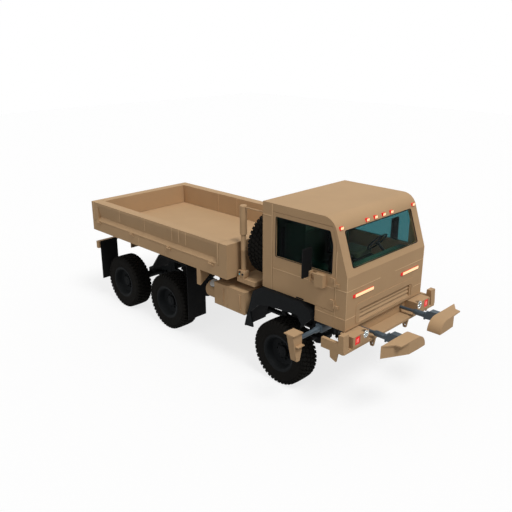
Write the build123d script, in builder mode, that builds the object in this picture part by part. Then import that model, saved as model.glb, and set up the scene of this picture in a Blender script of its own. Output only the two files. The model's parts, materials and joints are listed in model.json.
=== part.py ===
"""Six-wheeled military cargo truck: flat-fronted cab, drop-side bed, spare wheel and short arms.

Lengths are millimetres. X points forward, Y to the truck's left and Z up, with the ground at zero.
Every piece is built about the middle of the front axle and the truck's centre plane, and is moved
at the end to the part's own origin, the middle of its footprint on the ground.
"""

import os
from math import atan2, cos, degrees, hypot, pi, sin

from build123d import *

# ---------------------------------------------------------------- driving sizes
# Stance
tyre_radius = 564
tyre_width = 371
bead_radius = 300
wheel_track = 1907
middle_axle_x = -3019
rear_axle_x = -4551
lug_count = 15
lug_height = 26

# Chassis frame
rail_outer = 412
rail_flange = 85
rail_wall = 12
rail_low = 1190
rail_top = 1420
frame_front = 1190
frame_rear = -5250

# Cab
cab_half_width = 1064
cab_front = 1287
cab_rear = -428
cab_bottom = 1640
cab_roof = 3096
belt_height = 2240
brow_x = 996
brow_radius = 260
cab_wall = 55
skirt_rear = 700
skirt_wall = 60

# Doors, and the gap all round each moving panel
door_rear = -205
door_front = 1062
door_bottom = 1645
panel_gap = 6
glass_thickness = 8

# Load bed
bed_half_width = 1276
bed_front = -1074
bed_rear = -5326
bed_top = 2244
deck_top = 1827
bed_rail_low = 1623
board_thickness = 200
board_lift = 5
groove_depth = 60

# Bumper, arms and shoes
bumper_front = 1460
bumper_half_width = 1300
bumper_low = 1140
tray_thickness = 35
arm_height = 1270
front_arm_y = 560
side_arm_x = 785
shoe_rear = 1930
shoe_tip_y = 1065
side_bracket_out = 1715

# Hinges of the doors and drop sides
hinge_radius = 12
hinge_sides = 6
hinge_out = 18
pin_radius = 7
pin_gap = 0.5
leaf_step = 19
leaf_reach = 79
board_leaf_reach = 33
moving_leaf = 70
fixed_leaf = 50

# Gap between a turning wheel and its axle
spin_gap = 0.3

# ---------------------------------------------------------------- sizes that follow
wheel_y = wheel_track / 2
tyre_face_y = wheel_y + tyre_width / 2
rail_inner = rail_outer - rail_flange
shoe_front = shoe_rear + 230
shoe_top = arm_height + 115
shoe_low = arm_height - 86
skirt_bottom = arm_height + 115
door_top = cab_roof - 136
crossbar_rear = frame_rear - 150
footprint_x = (shoe_front + crossbar_rear) / 2
barrel_y = bed_half_width + hinge_out + hinge_radius * cos(pi / hinge_sides)
footprint_y = (barrel_y - side_bracket_out) / 2
to_origin = Location((-footprint_x, -footprint_y, 0))

SIDES = ((-1, "r"), (1, "l"))


# ---------------------------------------------------------------- helpers
def block(x_span, y_span, z_span, mode=Mode.ADD):
    """Add or cut a box given by its low and high X, Y and Z."""
    spans = [sorted(span) for span in (x_span, y_span, z_span)]
    middle = tuple((low + high) / 2 for low, high in spans)
    with Locations(middle):
        Box(*(high - low for low, high in spans), mode=mode)


def side_view(y):
    """Sketch plane at this Y with X across and Z up; it extrudes towards the right side."""
    return Plane.XZ.offset(-y)


def prism(points, low, high, plane_at, mode=Mode.ADD):
    """Extrude a straight-sided outline between two positions along the plane's normal axis."""
    start = plane_at(high) if plane_at is side_view else plane_at(low)
    with BuildSketch(start) as outline:
        with BuildLine():
            Polyline(*points, close=True)
        make_face()
    extrude(outline.sketch, amount=high - low, mode=mode)


def rod(start, end, radius, mode=Mode.ADD, sides=12):
    """Add or cut a bar between two points: many-sided, or round where sides is 0.

    A bar's corners lie on its radius and a hole's flats do, so that a bar always turns in its hole.
    """
    direction = Vector(*end) - Vector(*start)
    with BuildSketch(Plane(origin=start, z_dir=direction)) as section:
        if sides:
            RegularPolygon(radius, sides, major_radius=mode is Mode.ADD)
        else:
            Circle(radius)
    extrude(section.sketch, amount=direction.length, mode=mode)


def hinge_leaf(middle, reach, outward, length, bore=False, plate=leaf_reach):
    """Add one leaf of a hinge: its barrel, centred on the hinge line, and the plate on its panel.

    reach is the direction the plate leaves the line in, outward the panel's own outward direction,
    and plate how far from the line the plate ends.
    """
    along = Vector(*reach).cross(Vector(*outward))
    plane = Plane(origin=middle, x_dir=reach, z_dir=along)
    with BuildSketch(plane) as section:
        with BuildLine():
            Polyline(
                (0, 0),
                (plate, 0),
                (plate, -hinge_out),
                (leaf_step, -hinge_out),
                (leaf_step, -hinge_radius),
                (0, -hinge_radius),
                close=True,
            )
        make_face()
        RegularPolygon(hinge_radius, hinge_sides)
        if bore:
            RegularPolygon(pin_radius + pin_gap, hinge_sides, major_radius=False, mode=Mode.SUBTRACT)
    extrude(section.sketch, amount=length / 2, both=True)


def hinge_base(point, along, reach, outward, plate=leaf_reach):
    """Add a hinge's fixed leaf beside the point and the pin that runs through the moving leaf."""
    step = Vector(*along)
    centre = Vector(*point) + step * (moving_leaf / 2 + panel_gap + fixed_leaf / 2)
    hinge_leaf(tuple(centre), reach, outward, fixed_leaf, plate=plate)
    rod(tuple(Vector(*point) - step * moving_leaf / 2), tuple(centre), pin_radius, sides=0)


def write(name, piece):
    """Label a finished piece, move it to the part's origin and write its file."""
    piece.part.label = name
    piece.part.move(to_origin)
    export_step(piece.part, f"parts/{name}.step")


os.makedirs("parts", exist_ok=True)

# ---------------------------------------------------------------- chassis frame
cross_members = (-5150, -4000, -3570, -2400, -1500, 1000)  # X of each cross-member's middle
member_half = 50
cab_mounts = (-375, 1040)  # X of each cab mount's middle
mount_half = 35
with BuildPart() as frame_rails:
    for side, _ in SIDES:
        with BuildSketch(Plane.YZ.offset(frame_rear)):
            with Locations((side * (rail_outer + rail_inner) / 2, (rail_low + rail_top) / 2)):
                Rectangle(rail_flange, rail_top - rail_low)
            with Locations(
                (side * ((rail_outer + rail_inner) / 2 - rail_wall), (rail_low + rail_top) / 2)
            ):
                Rectangle(rail_flange, rail_top - rail_low - 2 * rail_wall, mode=Mode.SUBTRACT)
        extrude(amount=frame_front - frame_rear)
    for member_x in cross_members:
        block(
            (member_x - member_half, member_x + member_half),
            (-(rail_outer - rail_wall), rail_outer - rail_wall),
            (rail_low + rail_wall, rail_top - 90),
        )
    for mount_x in cab_mounts:
        for side, _ in SIDES:
            block(
                (mount_x - mount_half, mount_x + mount_half),
                (side * rail_inner, side * rail_outer),
                (rail_top, cab_bottom),
            )
write("frame_rails", frame_rails)

# ---------------------------------------------------------------- axles and knuckles
facets = 20
axle_radius = 75
spindle_radius = 70
kingpin_radius = 18
kingpin_y = 780
fork_half = 42
fork_low = 150
fork_plate = 30
nose_height = 610
nose_reach = 200
pad_top = tyre_radius + 96
spring_y = (rail_outer + rail_inner) / 2
spring_half = 35
hub_inner_y = wheel_y - 60
spindle_end_y = wheel_y - 12


def differential(x, noses):
    """Round housing on the axle's middle with flat pinion noses towards -X or +X."""
    rod((x, -120, tyre_radius), (x, 120, tyre_radius), 175)
    for nose in noses:
        rod((x, 0, nose_height), (x + nose * nose_reach, 0, nose_height), 80)


with BuildPart() as front_axle:
    rod((0, -700, tyre_radius), (0, 700, tyre_radius), axle_radius)
    differential(0, (-1,))
    for side, _ in SIDES:
        block((-60, 60), (side * 660, side * 730), (tyre_radius - 180, tyre_radius + 180))
        for up in (-1, 1):
            low = tyre_radius + up * fork_low
            high = low + up * fork_plate
            block((-fork_half, fork_half), (side * 700, side * (kingpin_y + fork_half)), (low, high))
        block(
            (-70, 70),
            (side * (spring_y - spring_half), side * (spring_y + spring_half)),
            (tyre_radius, pad_top),
        )
        rod(
            (0, side * kingpin_y, tyre_radius - 200),
            (0, side * kingpin_y, tyre_radius + 200),
            kingpin_radius + spin_gap,
            mode=Mode.SUBTRACT,
        )
write("front_axle", front_axle)

for side, tag in SIDES:
    with BuildPart() as knuckle:
        stub = fork_low - panel_gap
        rod((0, side * kingpin_y, tyre_radius - stub), (0, side * kingpin_y, tyre_radius + stub), 42)
        rod((0, side * kingpin_y, tyre_radius), (0, side * 856, tyre_radius), 40)
        rod((0, side * 850, tyre_radius), (0, side * (hub_inner_y - 8), tyre_radius), 185)
        rod((0, side * 850, tyre_radius), (0, side * spindle_end_y, tyre_radius), spindle_radius, sides=0)
        rod(
            (0, side * kingpin_y, tyre_radius - fork_low - fork_plate),
            (0, side * kingpin_y, tyre_radius + fork_low + fork_plate),
            kingpin_radius,
            sides=0,
        )
    write(f"knuckle_{tag}", knuckle)

with BuildPart() as rear_axles:
    for axle_x, noses in ((middle_axle_x, (-1, 1)), (rear_axle_x, (1,))):
        rod((axle_x, -840, tyre_radius), (axle_x, 840, tyre_radius), axle_radius)
        differential(axle_x, noses)
        for side, _ in SIDES:
            rod((axle_x, side * 840, tyre_radius), (axle_x, side * (hub_inner_y - 8), tyre_radius), 185)
            spindle_end = (axle_x, side * spindle_end_y, tyre_radius)
            rod((axle_x, side * 840, tyre_radius), spindle_end, spindle_radius, sides=0)
            block(
                (axle_x - 60, axle_x + 60),
                (side * (spring_y - spring_half), side * (spring_y + spring_half)),
                (tyre_radius, pad_top),
            )
write("rear_axles", rear_axles)

# ---------------------------------------------------------------- springs
spring_top = 60
leaf_end = 560
eye_z = 880
eye_top = eye_z + spring_top
with BuildPart() as front_springs:
    for side, _ in SIDES:
        with BuildSketch(side_view(side * spring_y + spring_half)):
            with BuildLine():
                ThreePointArc((-leaf_end, eye_z), (0, pad_top), (leaf_end, eye_z))
                Line((leaf_end, eye_z), (leaf_end, eye_top))
                ThreePointArc((leaf_end, eye_top), (0, pad_top + spring_top + 20), (-leaf_end, eye_top))
                Line((-leaf_end, eye_top), (-leaf_end, eye_z))
            make_face()
        extrude(amount=2 * spring_half)
        for end in (-1, 1):
            block(
                (end * 500, end * 590),
                (side * spring_y - spring_half, side * spring_y + spring_half),
                (870, rail_low),
            )
write("front_springs", front_springs)

bogie_x = (middle_axle_x + rear_axle_x) / 2
bogie_half = (middle_axle_x - rear_axle_x) / 2
with BuildPart() as bogie_springs:
    for side, _ in SIDES:
        with BuildSketch(side_view(side * spring_y + spring_half)):
            with BuildLine():
                front_end = (bogie_x + bogie_half + 60, pad_top)
                back_end = (bogie_x - bogie_half - 60, pad_top)
                Line((front_end[0], pad_top), (front_end[0], pad_top + 40))
                ThreePointArc((front_end[0], pad_top + 40), (bogie_x, 910), (back_end[0], pad_top + 40))
                Line((back_end[0], pad_top + 40), back_end)
                Line(back_end, (back_end[0] + 120, pad_top))
                ThreePointArc((back_end[0] + 120, pad_top), (bogie_x, 800), (front_end[0] - 120, pad_top))
                Line((front_end[0] - 120, pad_top), front_end)
            make_face()
        extrude(amount=2 * spring_half)
        block(
            (bogie_x - 110, bogie_x + 110),
            (side * spring_y - spring_half, side * spring_y + spring_half),
            (780, rail_low),
        )
write("bogie_springs", bogie_springs)

# ---------------------------------------------------------------- engine and driveline
engine_front = 600
engine_rear = -450
engine_low = 830
engine_top = 1540
engine_half = 300
with BuildPart() as engine_block:
    block((engine_rear, engine_front), (-engine_half, engine_half), (engine_low, engine_top))
    for side, _ in SIDES:
        for foot_x in (-300, 400):
            block((foot_x, foot_x + 100), (side * engine_half, side * 400), (rail_top, rail_top + 50))
write("engine_block", engine_block)

case_front = -1300
case_rear = -1750
case_top = 940
upper_shaft = 890
shaft_radius = 48
with BuildPart() as driveline:
    block((case_rear, case_front), (-180, 180), (500, case_top))
    block((case_rear + 150, case_front - 150), (-80, 80), (case_top, rail_low + rail_wall))
    rod((case_front, 0, upper_shaft), (engine_rear, 0, upper_shaft), shaft_radius)
    rod((case_front, 0, nose_height), (-nose_reach, 0, nose_height), shaft_radius)
    rod((case_rear, 0, nose_height), (middle_axle_x + nose_reach, 0, nose_height), shaft_radius)
    last_shaft = (middle_axle_x - nose_reach, 0, nose_height)
    rod(last_shaft, (rear_axle_x + nose_reach, 0, nose_height), shaft_radius)
write("driveline", driveline)

# ---------------------------------------------------------------- wheels
groove_radius = tyre_radius - lug_height
sidewall_radius = 0.8 * groove_radius
shoulder_half = 140
bead_half = 165
flange_height = 30
flange_wall = 12
disc_outer = 14
disc_inner = -6
disc_depth = 12
boss_depth = 60


def lug_outline(turn):
    """Tread outline seen along the axle: lugs standing from the groove circle."""
    points = []
    pitch = 2 * pi / lug_count
    foot, crown = 0.25, 0.2  # half the lug at its foot and at its crown, as shares of the pitch
    stations = ((-foot, groove_radius), (-crown, tyre_radius), (crown, tyre_radius), (foot, groove_radius))
    for lug in range(lug_count):
        for share, radius in stations:
            angle = (lug + turn + share) * pitch - pi / 2
            points.append((radius * cos(angle), radius * sin(angle)))
    return points


def polygon_ring(plane, low, high, radius, mode=Mode.ADD):
    """Add or cut a many-sided disc between two offsets along the plane's normal."""
    with BuildSketch(plane.offset(low)) as outline:
        RegularPolygon(radius, facets, major_radius=False)
    extrude(outline.sketch, amount=high - low, mode=mode)


def cone(plane, wide, narrow, mode=Mode.ADD):
    """Add or cut a many-sided cone between two (offset, radius) stations, the wider one first."""
    reach = narrow[0] - wide[0]
    base = plane.offset(wide[0])
    with BuildSketch(base if reach > 0 else -base) as outline:
        RegularPolygon(wide[1], facets, major_radius=False)
    slope = degrees(atan2(wide[1] - narrow[1], abs(reach)))
    extrude(outline.sketch, amount=abs(reach), taper=slope, mode=mode)


def wheel_plane(centre, along):
    """Plane at the wheel's middle whose normal is the axle's outboard direction."""
    return Plane(origin=centre, x_dir=(0, 0, 1), z_dir=along)


def make_tyre(name, centre, along):
    """Write one lugged tyre: two staggered rows of lugs between sloping side walls."""
    plane = wheel_plane(centre, along)
    shoulder_radius = groove_radius * cos(pi / facets)
    with BuildPart() as tyre:
        for low, turn in ((-shoulder_half, 0.0), (0, 0.5)):
            with BuildSketch(plane.offset(low)) as row:
                with BuildLine():
                    Polyline(*lug_outline(turn), close=True)
                make_face()
            extrude(row.sketch, amount=shoulder_half)
        for end in (-1, 1):
            widest = (end * tyre_width / 2, sidewall_radius)
            cone(plane, (end * shoulder_half, shoulder_radius), widest)
            cone(plane, widest, (end * bead_half, bead_radius + flange_height), mode=Mode.SUBTRACT)
        polygon_ring(plane, -tyre_width, tyre_width, bead_radius + spin_gap, mode=Mode.SUBTRACT)
    write(name, tyre)


def make_rim(name, centre, along, bore=True):
    """Write one disc wheel: flanged barrel, dished disc, hub cap and the boss on its spindle."""
    plane = wheel_plane(centre, along)
    with BuildPart() as rim:
        polygon_ring(plane, -bead_half, bead_half, bead_radius)
        for low, high in ((-bead_half - flange_wall, -bead_half), (bead_half, bead_half + flange_wall)):
            polygon_ring(plane, low, high, bead_radius + flange_height)
        barrel_inner = bead_radius - flange_wall
        polygon_ring(plane, disc_outer, bead_half + flange_wall, barrel_inner, mode=Mode.SUBTRACT)
        polygon_ring(plane, -bead_half - flange_wall, disc_inner, barrel_inner, mode=Mode.SUBTRACT)
        for low, high, radius in ((disc_outer, 95, 105), (-boss_depth, disc_inner, 118)):
            polygon_ring(plane, low, high, radius)
        if bore:
            hole = spindle_radius + spin_gap
            polygon_ring(plane, -boss_depth, pin_gap - disc_depth, hole, mode=Mode.SUBTRACT)
    write(name, rim)


for axle, axle_x in (("front", 0), ("middle", middle_axle_x), ("rear", rear_axle_x)):
    for side, tag in SIDES:
        centre = (axle_x, side * wheel_y, tyre_radius)
        make_tyre(f"tyre_{axle}_{tag}", centre, (0, side, 0))
        make_rim(f"rim_{axle}_{tag}", centre, (0, side, 0))

# ---------------------------------------------------------------- spare wheel and the rack behind the cab
spare_x = -646
spare_y = -480
rack_front = -470
rack_rear = -1040
rack_low = 1560
rack_top = 1640
rack_half = 1070
rack_neck = 630
rack_wing_front = -610
post_front = spare_x - tyre_width / 2 - 12
spare_centre = (spare_x, spare_y, rack_top + tyre_radius)
make_tyre("spare_tyre", spare_centre, (1, 0, 0))
make_rim("spare_rim", spare_centre, (1, 0, 0), bore=False)

with BuildPart() as spare_carrier:
    block((rack_rear, rack_front), (-rack_neck, rack_neck), (rack_low, rack_top))
    block((rack_rear, rack_wing_front), (-rack_half, rack_half), (rack_low, rack_top))
    for side, _ in SIDES:
        for leg_x in (-990, -590):
            block((leg_x, leg_x + 90), (side * rail_inner, side * rail_outer), (rail_top, rack_low))
    post_top = rack_top + tyre_radius + 90
    block((post_front - 70, post_front), (spare_y - 60, spare_y + 60), (rack_top, post_top))
    rod((post_front, spare_y, spare_centre[2]), (spare_x - boss_depth, spare_y, spare_centre[2]), 55)
write("spare_carrier", spare_carrier)

# ---------------------------------------------------------------- cab shell
hinge_x = door_front + 8
hinge_y = cab_half_width + hinge_out
door_hinges = (1800, 2150)
windscreen_slope = hypot(cab_front - brow_x, cab_roof - belt_height)
slope_x = (cab_front - brow_x) / windscreen_slope
slope_z = (cab_roof - belt_height) / windscreen_slope
windscreen_plane = Plane(origin=(cab_front, 0, belt_height), x_dir=(0, 1, 0), z_dir=(slope_z, 0, slope_x))
windscreen_low = 115
windscreen_high = windscreen_slope - 230
windscreen_half = 885
windscreen_corner = 25
window_low = 2235
window_high = cab_roof - 206
rear_window = (-350, 350)
rear_window_z = (2350, cab_roof - 346)
grille_half = 740
grille_low = 1440
grille_top = 1650
grille_depth = 90
grille_post = 40
corner_cut_z = cab_roof - 396
corner_cut_x = 985


def cab_outline(plane, inset=0):
    """Side outline of the cab without its skirt, shrunk all round by the inset."""
    with BuildSketch(plane) as outline:
        with BuildLine():
            Polyline(
                (cab_rear, cab_bottom),
                (cab_rear, cab_roof),
                (brow_x, cab_roof),
                (cab_front, belt_height),
                (cab_front, cab_bottom),
                close=True,
            )
        make_face()
        corners = outline.vertices()
        fillet(corners.sort_by_distance((brow_x, cab_roof))[0], brow_radius)
        if inset:
            offset(amount=-inset, kind=Kind.INTERSECTION)
    return outline.sketch


def door_outline(grow=0, low=None):
    """Side outline of the door, grown all round for its opening."""
    bottom = door_bottom if low is None else low
    return (
        (door_rear - grow, bottom),
        (door_front + grow, bottom),
        (door_front + grow, corner_cut_z + grow / 2),
        (corner_cut_x + grow / 2, door_top + grow),
        (door_rear - grow, door_top + grow),
    )


def windscreen_hole(depth, thickness, mode=Mode.ADD):
    """Rounded panel in the windscreen's slope, from a depth below its outer face."""
    with BuildSketch(windscreen_plane.offset(-depth)) as pane:
        with Locations((0, (windscreen_low + windscreen_high) / 2)):
            RectangleRounded(2 * windscreen_half, windscreen_high - windscreen_low, windscreen_corner)
    extrude(pane.sketch, amount=-thickness, mode=mode)


with BuildPart() as cab_shell:
    extrude(cab_outline(side_view(cab_half_width)), amount=2 * cab_half_width)
    inner_half = cab_half_width - cab_wall
    extrude(cab_outline(side_view(inner_half), cab_wall), amount=2 * inner_half, mode=Mode.SUBTRACT)
    block((cab_front - skirt_wall, cab_front), (-cab_half_width, cab_half_width), (skirt_bottom, cab_bottom))
    for side, _ in SIDES:
        block((skirt_rear, cab_front), (side * inner_half, side * cab_half_width), (skirt_bottom, cab_bottom))
        span = sorted((side * (inner_half - 1), side * (cab_half_width + 1)))
        prism(door_outline(panel_gap, cab_bottom - 1), *span, side_view, mode=Mode.SUBTRACT)
    windscreen_hole(-20, 2 * cab_wall, mode=Mode.SUBTRACT)
    block((cab_rear - 10, cab_rear + cab_wall + 10), rear_window, rear_window_z, mode=Mode.SUBTRACT)
    grille_z = (grille_low, grille_top)
    grille_x = (cab_front - grille_depth, cab_front + 10)
    block(grille_x, (-grille_half, grille_half), grille_z, mode=Mode.SUBTRACT)
    for side, _ in SIDES:
        for height in door_hinges:
            hinge_base((hinge_x, side * hinge_y, height), (0, 0, -1), (1, 0, 0), (0, side, 0))
write("cab_shell", cab_shell)

with BuildPart() as cab_glass:
    windscreen_hole(cab_wall / 2, glass_thickness)
    block((cab_rear + 24, cab_rear + 24 + glass_thickness), rear_window, rear_window_z)
write("cab_glass", cab_glass)

slot_count = 3
slat_gap = 22
with BuildPart() as grille:
    slat_pitch = (grille_top - grille_low) / slot_count
    for slat in range(slot_count):
        low = grille_low + slat * slat_pitch
        high = low + slat_pitch - slat_gap
        front = cab_front - 25
        outline = ((front, low), (front + 8, low), (front - 22, high), (front - 30, high))
        prism(outline, grille_post - grille_half, grille_half - grille_post, side_view)
    for side, _ in SIDES:
        block(
            (cab_front - grille_depth, cab_front - 5),
            (side * (grille_half - grille_post), side * grille_half),
            (grille_low, grille_top),
        )
write("grille", grille)

with BuildPart() as grille_back:
    block(
        (cab_front - grille_depth, cab_front - grille_depth + 10),
        (grille_post - grille_half, grille_half - grille_post),
        (grille_low, grille_top),
    )
write("grille_back", grille_back)

# ---------------------------------------------------------------- doors, glass and mirrors
window_notch = corner_cut_z - 10
window_rear = -140
window_front = 1000
window = (
    (window_rear, window_low),
    (window_front, window_low),
    (window_front, window_notch),
    (window_front - 60, window_high),
    (window_rear, window_high),
)
for side, tag in SIDES:
    skin = sorted((side * (cab_half_width - cab_wall), side * cab_half_width))
    with BuildPart() as door:
        prism(door_outline(), *skin, side_view)
        prism(window, skin[0] - 1, skin[1] + 1, side_view, mode=Mode.SUBTRACT)
        block((730, 900), (side * cab_half_width, side * 1150), (2000, 2200))
        for arm_z in (2060, 2165):
            block((650, 730), (side * 1100, side * 1130), (arm_z, arm_z + 24))
        block((626, 650), (side * cab_half_width, side * 1150), (2040, 2210))
        for height in door_hinges:
            hinge_leaf((hinge_x, side * hinge_y, height), (-1, 0, 0), (0, side, 0), moving_leaf, bore=True)
    write(f"door_{tag}", door)
    pane = sorted((side * 1030, side * (1030 + glass_thickness)))
    with BuildPart() as glass:
        prism(window, *pane, side_view)
    write(f"glass_{tag}", glass)
    with BuildPart() as mirror:
        block((600, 626), (side * 1085, side * 1290), (2120, 2575))
    write(f"mirror_{tag}", mirror)

# ---------------------------------------------------------------- cab inside
cab_floor = cab_bottom + cab_wall
dash_rear = 850
dash_low = 1900
dash_top = 2190
with BuildPart() as dashboard:
    dash_front = cab_front - cab_wall
    outline = (
        (dash_rear, dash_low),
        (dash_rear, dash_top),
        (1100, dash_top + 25),
        (dash_front, dash_top),
        (dash_front, dash_low),
    )
    prism(outline, -(inner_half - 9), inner_half - 9, side_view)
write("dashboard", dashboard)

seat_y = 600
seat_half = 240
seat_height = 2080
back_top = min(seat_height + 680, cab_roof - 300)
shell_top = back_top - 120
bench_low = seat_height - 130
with BuildPart() as seat_frames:
    for side, _ in SIDES:
        width = (side * (seat_y - seat_half), side * (seat_y + seat_half))
        block((20, 400), (side * (seat_y - 180), side * (seat_y + 180)), (cab_floor, bench_low))
        block((-230, 440), width, (bench_low - 30, bench_low))
        block((-230, -205), width, (bench_low, shell_top))
write("seat_frames", seat_frames)

with BuildPart() as seat_cushions:
    for side, _ in SIDES:
        width = (side * (seat_y - seat_half), side * (seat_y + seat_half))
        block((-60, 450), width, (bench_low, seat_height))
write("seat_cushions", seat_cushions)

with BuildPart() as seat_backs:
    for side, _ in SIDES:
        width = (side * (seat_y - seat_half), side * (seat_y + seat_half))
        block((-205, -65), width, (bench_low, back_top))
write("seat_backs", seat_backs)

wheel_hub = Vector(640, seat_y, seat_height + 210)
column_foot = Vector(dash_rear + 60, seat_y, seat_height)
with BuildPart() as steering_wheel:
    column = column_foot - wheel_hub
    plane = Plane(origin=tuple(wheel_hub), x_dir=(0, 1, 0), z_dir=tuple(column))
    with BuildSketch(plane):
        RegularPolygon(215, 20, major_radius=False)
        RegularPolygon(185, 20, major_radius=False, mode=Mode.SUBTRACT)
        Rectangle(380, 40)
        RegularPolygon(45, 12)
    extrude(amount=26)
    rod(tuple(wheel_hub), tuple(column_foot), 28)
    column_z = (column_foot.Z - 100, wheel_hub.Z)
    block((dash_rear, dash_rear + 200), (seat_y - 100, seat_y + 100), column_z, mode=Mode.SUBTRACT)
write("steering_wheel", steering_wheel)

# ---------------------------------------------------------------- bumper, lamps and front wings
wall_half = 900
wing_inner = 1240
wing_rear = 1030
wing_top = 1300
post_inner = 1170
corner_top = 1440
housing_inner = 690
housing_outer = 1090
housing_front = 1470
housing_top = 1360
lamp_z = 1315
headlight_y = 765
signal_y = 975
tow_eye_y = 470
tow_eye_hole = 22
pocket_back = 1400
tray_top = bumper_low + tray_thickness
with BuildPart() as front_bumper:
    outline = (
        (frame_front, -wing_inner),
        (1300, -bumper_half_width),
        (bumper_front - 20, -bumper_half_width),
        (bumper_front, -bumper_half_width + 20),
        (bumper_front, bumper_half_width - 20),
        (bumper_front - 20, bumper_half_width),
        (1300, bumper_half_width),
        (frame_front, wing_inner),
    )
    prism(outline, bumper_low, tray_top, Plane.XY.offset)
    block((frame_front, frame_front + tray_thickness), (-wall_half, wall_half), (tray_top, arm_height + 60))
    for side, _ in SIDES:
        block(
            (frame_front + tray_thickness, housing_front),
            (side * housing_inner, side * housing_outer),
            (tray_top, housing_top),
        )
        rod(
            (pocket_back, side * headlight_y, lamp_z),
            (housing_front + 10, side * headlight_y, lamp_z),
            64,
            mode=Mode.SUBTRACT,
            sides=facets,
        )
        block(
            (pocket_back, housing_front + 10),
            (side * (signal_y - 62), side * (signal_y + 62)),
            (1210, 1346),
            mode=Mode.SUBTRACT,
        )
        wing = (side * wing_inner, side * bumper_half_width)
        block((wing_rear, bumper_front - 120), wing, (bumper_low, wing_top))
        post = ((1335, tray_top), (1455, tray_top), (1440, corner_top), (1355, corner_top))
        prism(post, *sorted((side * post_inner, side * bumper_half_width)), side_view)
        hanger = ((1200, bumper_low), (1350, bumper_low), (1320, 985), (1210, 1030))
        prism(hanger, *sorted((side * (bumper_half_width - 30), side * bumper_half_width)), side_view)
        eye = ((1330, bumper_low), (bumper_front - 10, bumper_low), (bumper_front - 40, 985), (1370, 985))
        prism(eye, *sorted((side * (tow_eye_y - 20), side * (tow_eye_y + 20))), side_view)
        rod(
            (1396, side * tow_eye_y - 40, 1025),
            (1396, side * tow_eye_y + 40, 1025),
            tow_eye_hole,
            mode=Mode.SUBTRACT,
            sides=0,
        )
write("front_bumper", front_bumper)

with BuildPart() as headlights:
    for side, _ in SIDES:
        lens = (housing_front - 6, side * headlight_y, lamp_z)
        rod((pocket_back, side * headlight_y, lamp_z), lens, 56, sides=facets)
write("headlights", headlights)

roof_lamps = (-965, -325, -110, 110, 325, 965)
roof_lamp_size = (70, 45)
roof_lamp_z = cab_roof - 161
marker_bar = (390, 900)
with BuildPart() as red_lamps:
    for lamp_y in roof_lamps:
        half_wide, half_high = roof_lamp_size[0] / 2, roof_lamp_size[1] / 2
        lamp_span = (roof_lamp_z - half_high, roof_lamp_z + half_high)
        block((brow_x + 4, brow_x + 82), (lamp_y - half_wide, lamp_y + half_wide), lamp_span)
    extrude(cab_outline(side_view(cab_half_width)), amount=2 * cab_half_width, mode=Mode.SUBTRACT)
    for side, _ in SIDES:
        block((cab_front, cab_front + 14), (side * marker_bar[0], side * marker_bar[1]), (1888, 1934))
        block(
            (pocket_back, housing_front - 4),
            (side * (signal_y - 52), side * (signal_y + 52)),
            (1220, 1336),
        )
write("red_lamps", red_lamps)

fender_wall = 30
fender_inner = 640
fender_panel_low = 1165
fender_path = (
    (-790, 830),
    (-753, 969),
    (-585, 1520),
    (-400, cab_bottom),
    (481, cab_bottom),
    (668, 1540),
    (692, 1429),
)
fender_lip = ((474, 1194), (489, 1270), (400, 1400), (-184, 1365), (-454, 1307), (-650, 1120), (-590, 850))
with BuildPart() as front_fenders:
    for side, _ in SIDES:
        with BuildSketch(side_view(max(side * fender_inner, side * tyre_face_y))):
            with BuildLine():
                FilletPolyline(*fender_path, radius=60)
                offset(amount=fender_wall, side=Side.RIGHT)
            make_face()
        extrude(amount=tyre_face_y - fender_inner)
        lip = sorted((side * (tyre_face_y - fender_wall), side * tyre_face_y))
        with BuildSketch(side_view(lip[1])):
            with BuildLine():
                edge = FilletPolyline(*fender_path, radius=60)
                Polyline(edge @ 1, *fender_lip, edge @ 0)
            make_face()
        extrude(amount=fender_wall)
        panel = sorted((side * fender_inner, side * (fender_inner + fender_wall / 2)))
        shape = (
            (-670, fender_panel_low),
            (-585, 1500),
            (-400, cab_bottom - fender_wall / 2),
            (481, cab_bottom - fender_wall / 2),
            (655, 1530),
            (655, 1429),
            (474, fender_panel_low + 30),
        )
        prism(shape, *panel, side_view)
write("front_fenders", front_fenders)

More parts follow.
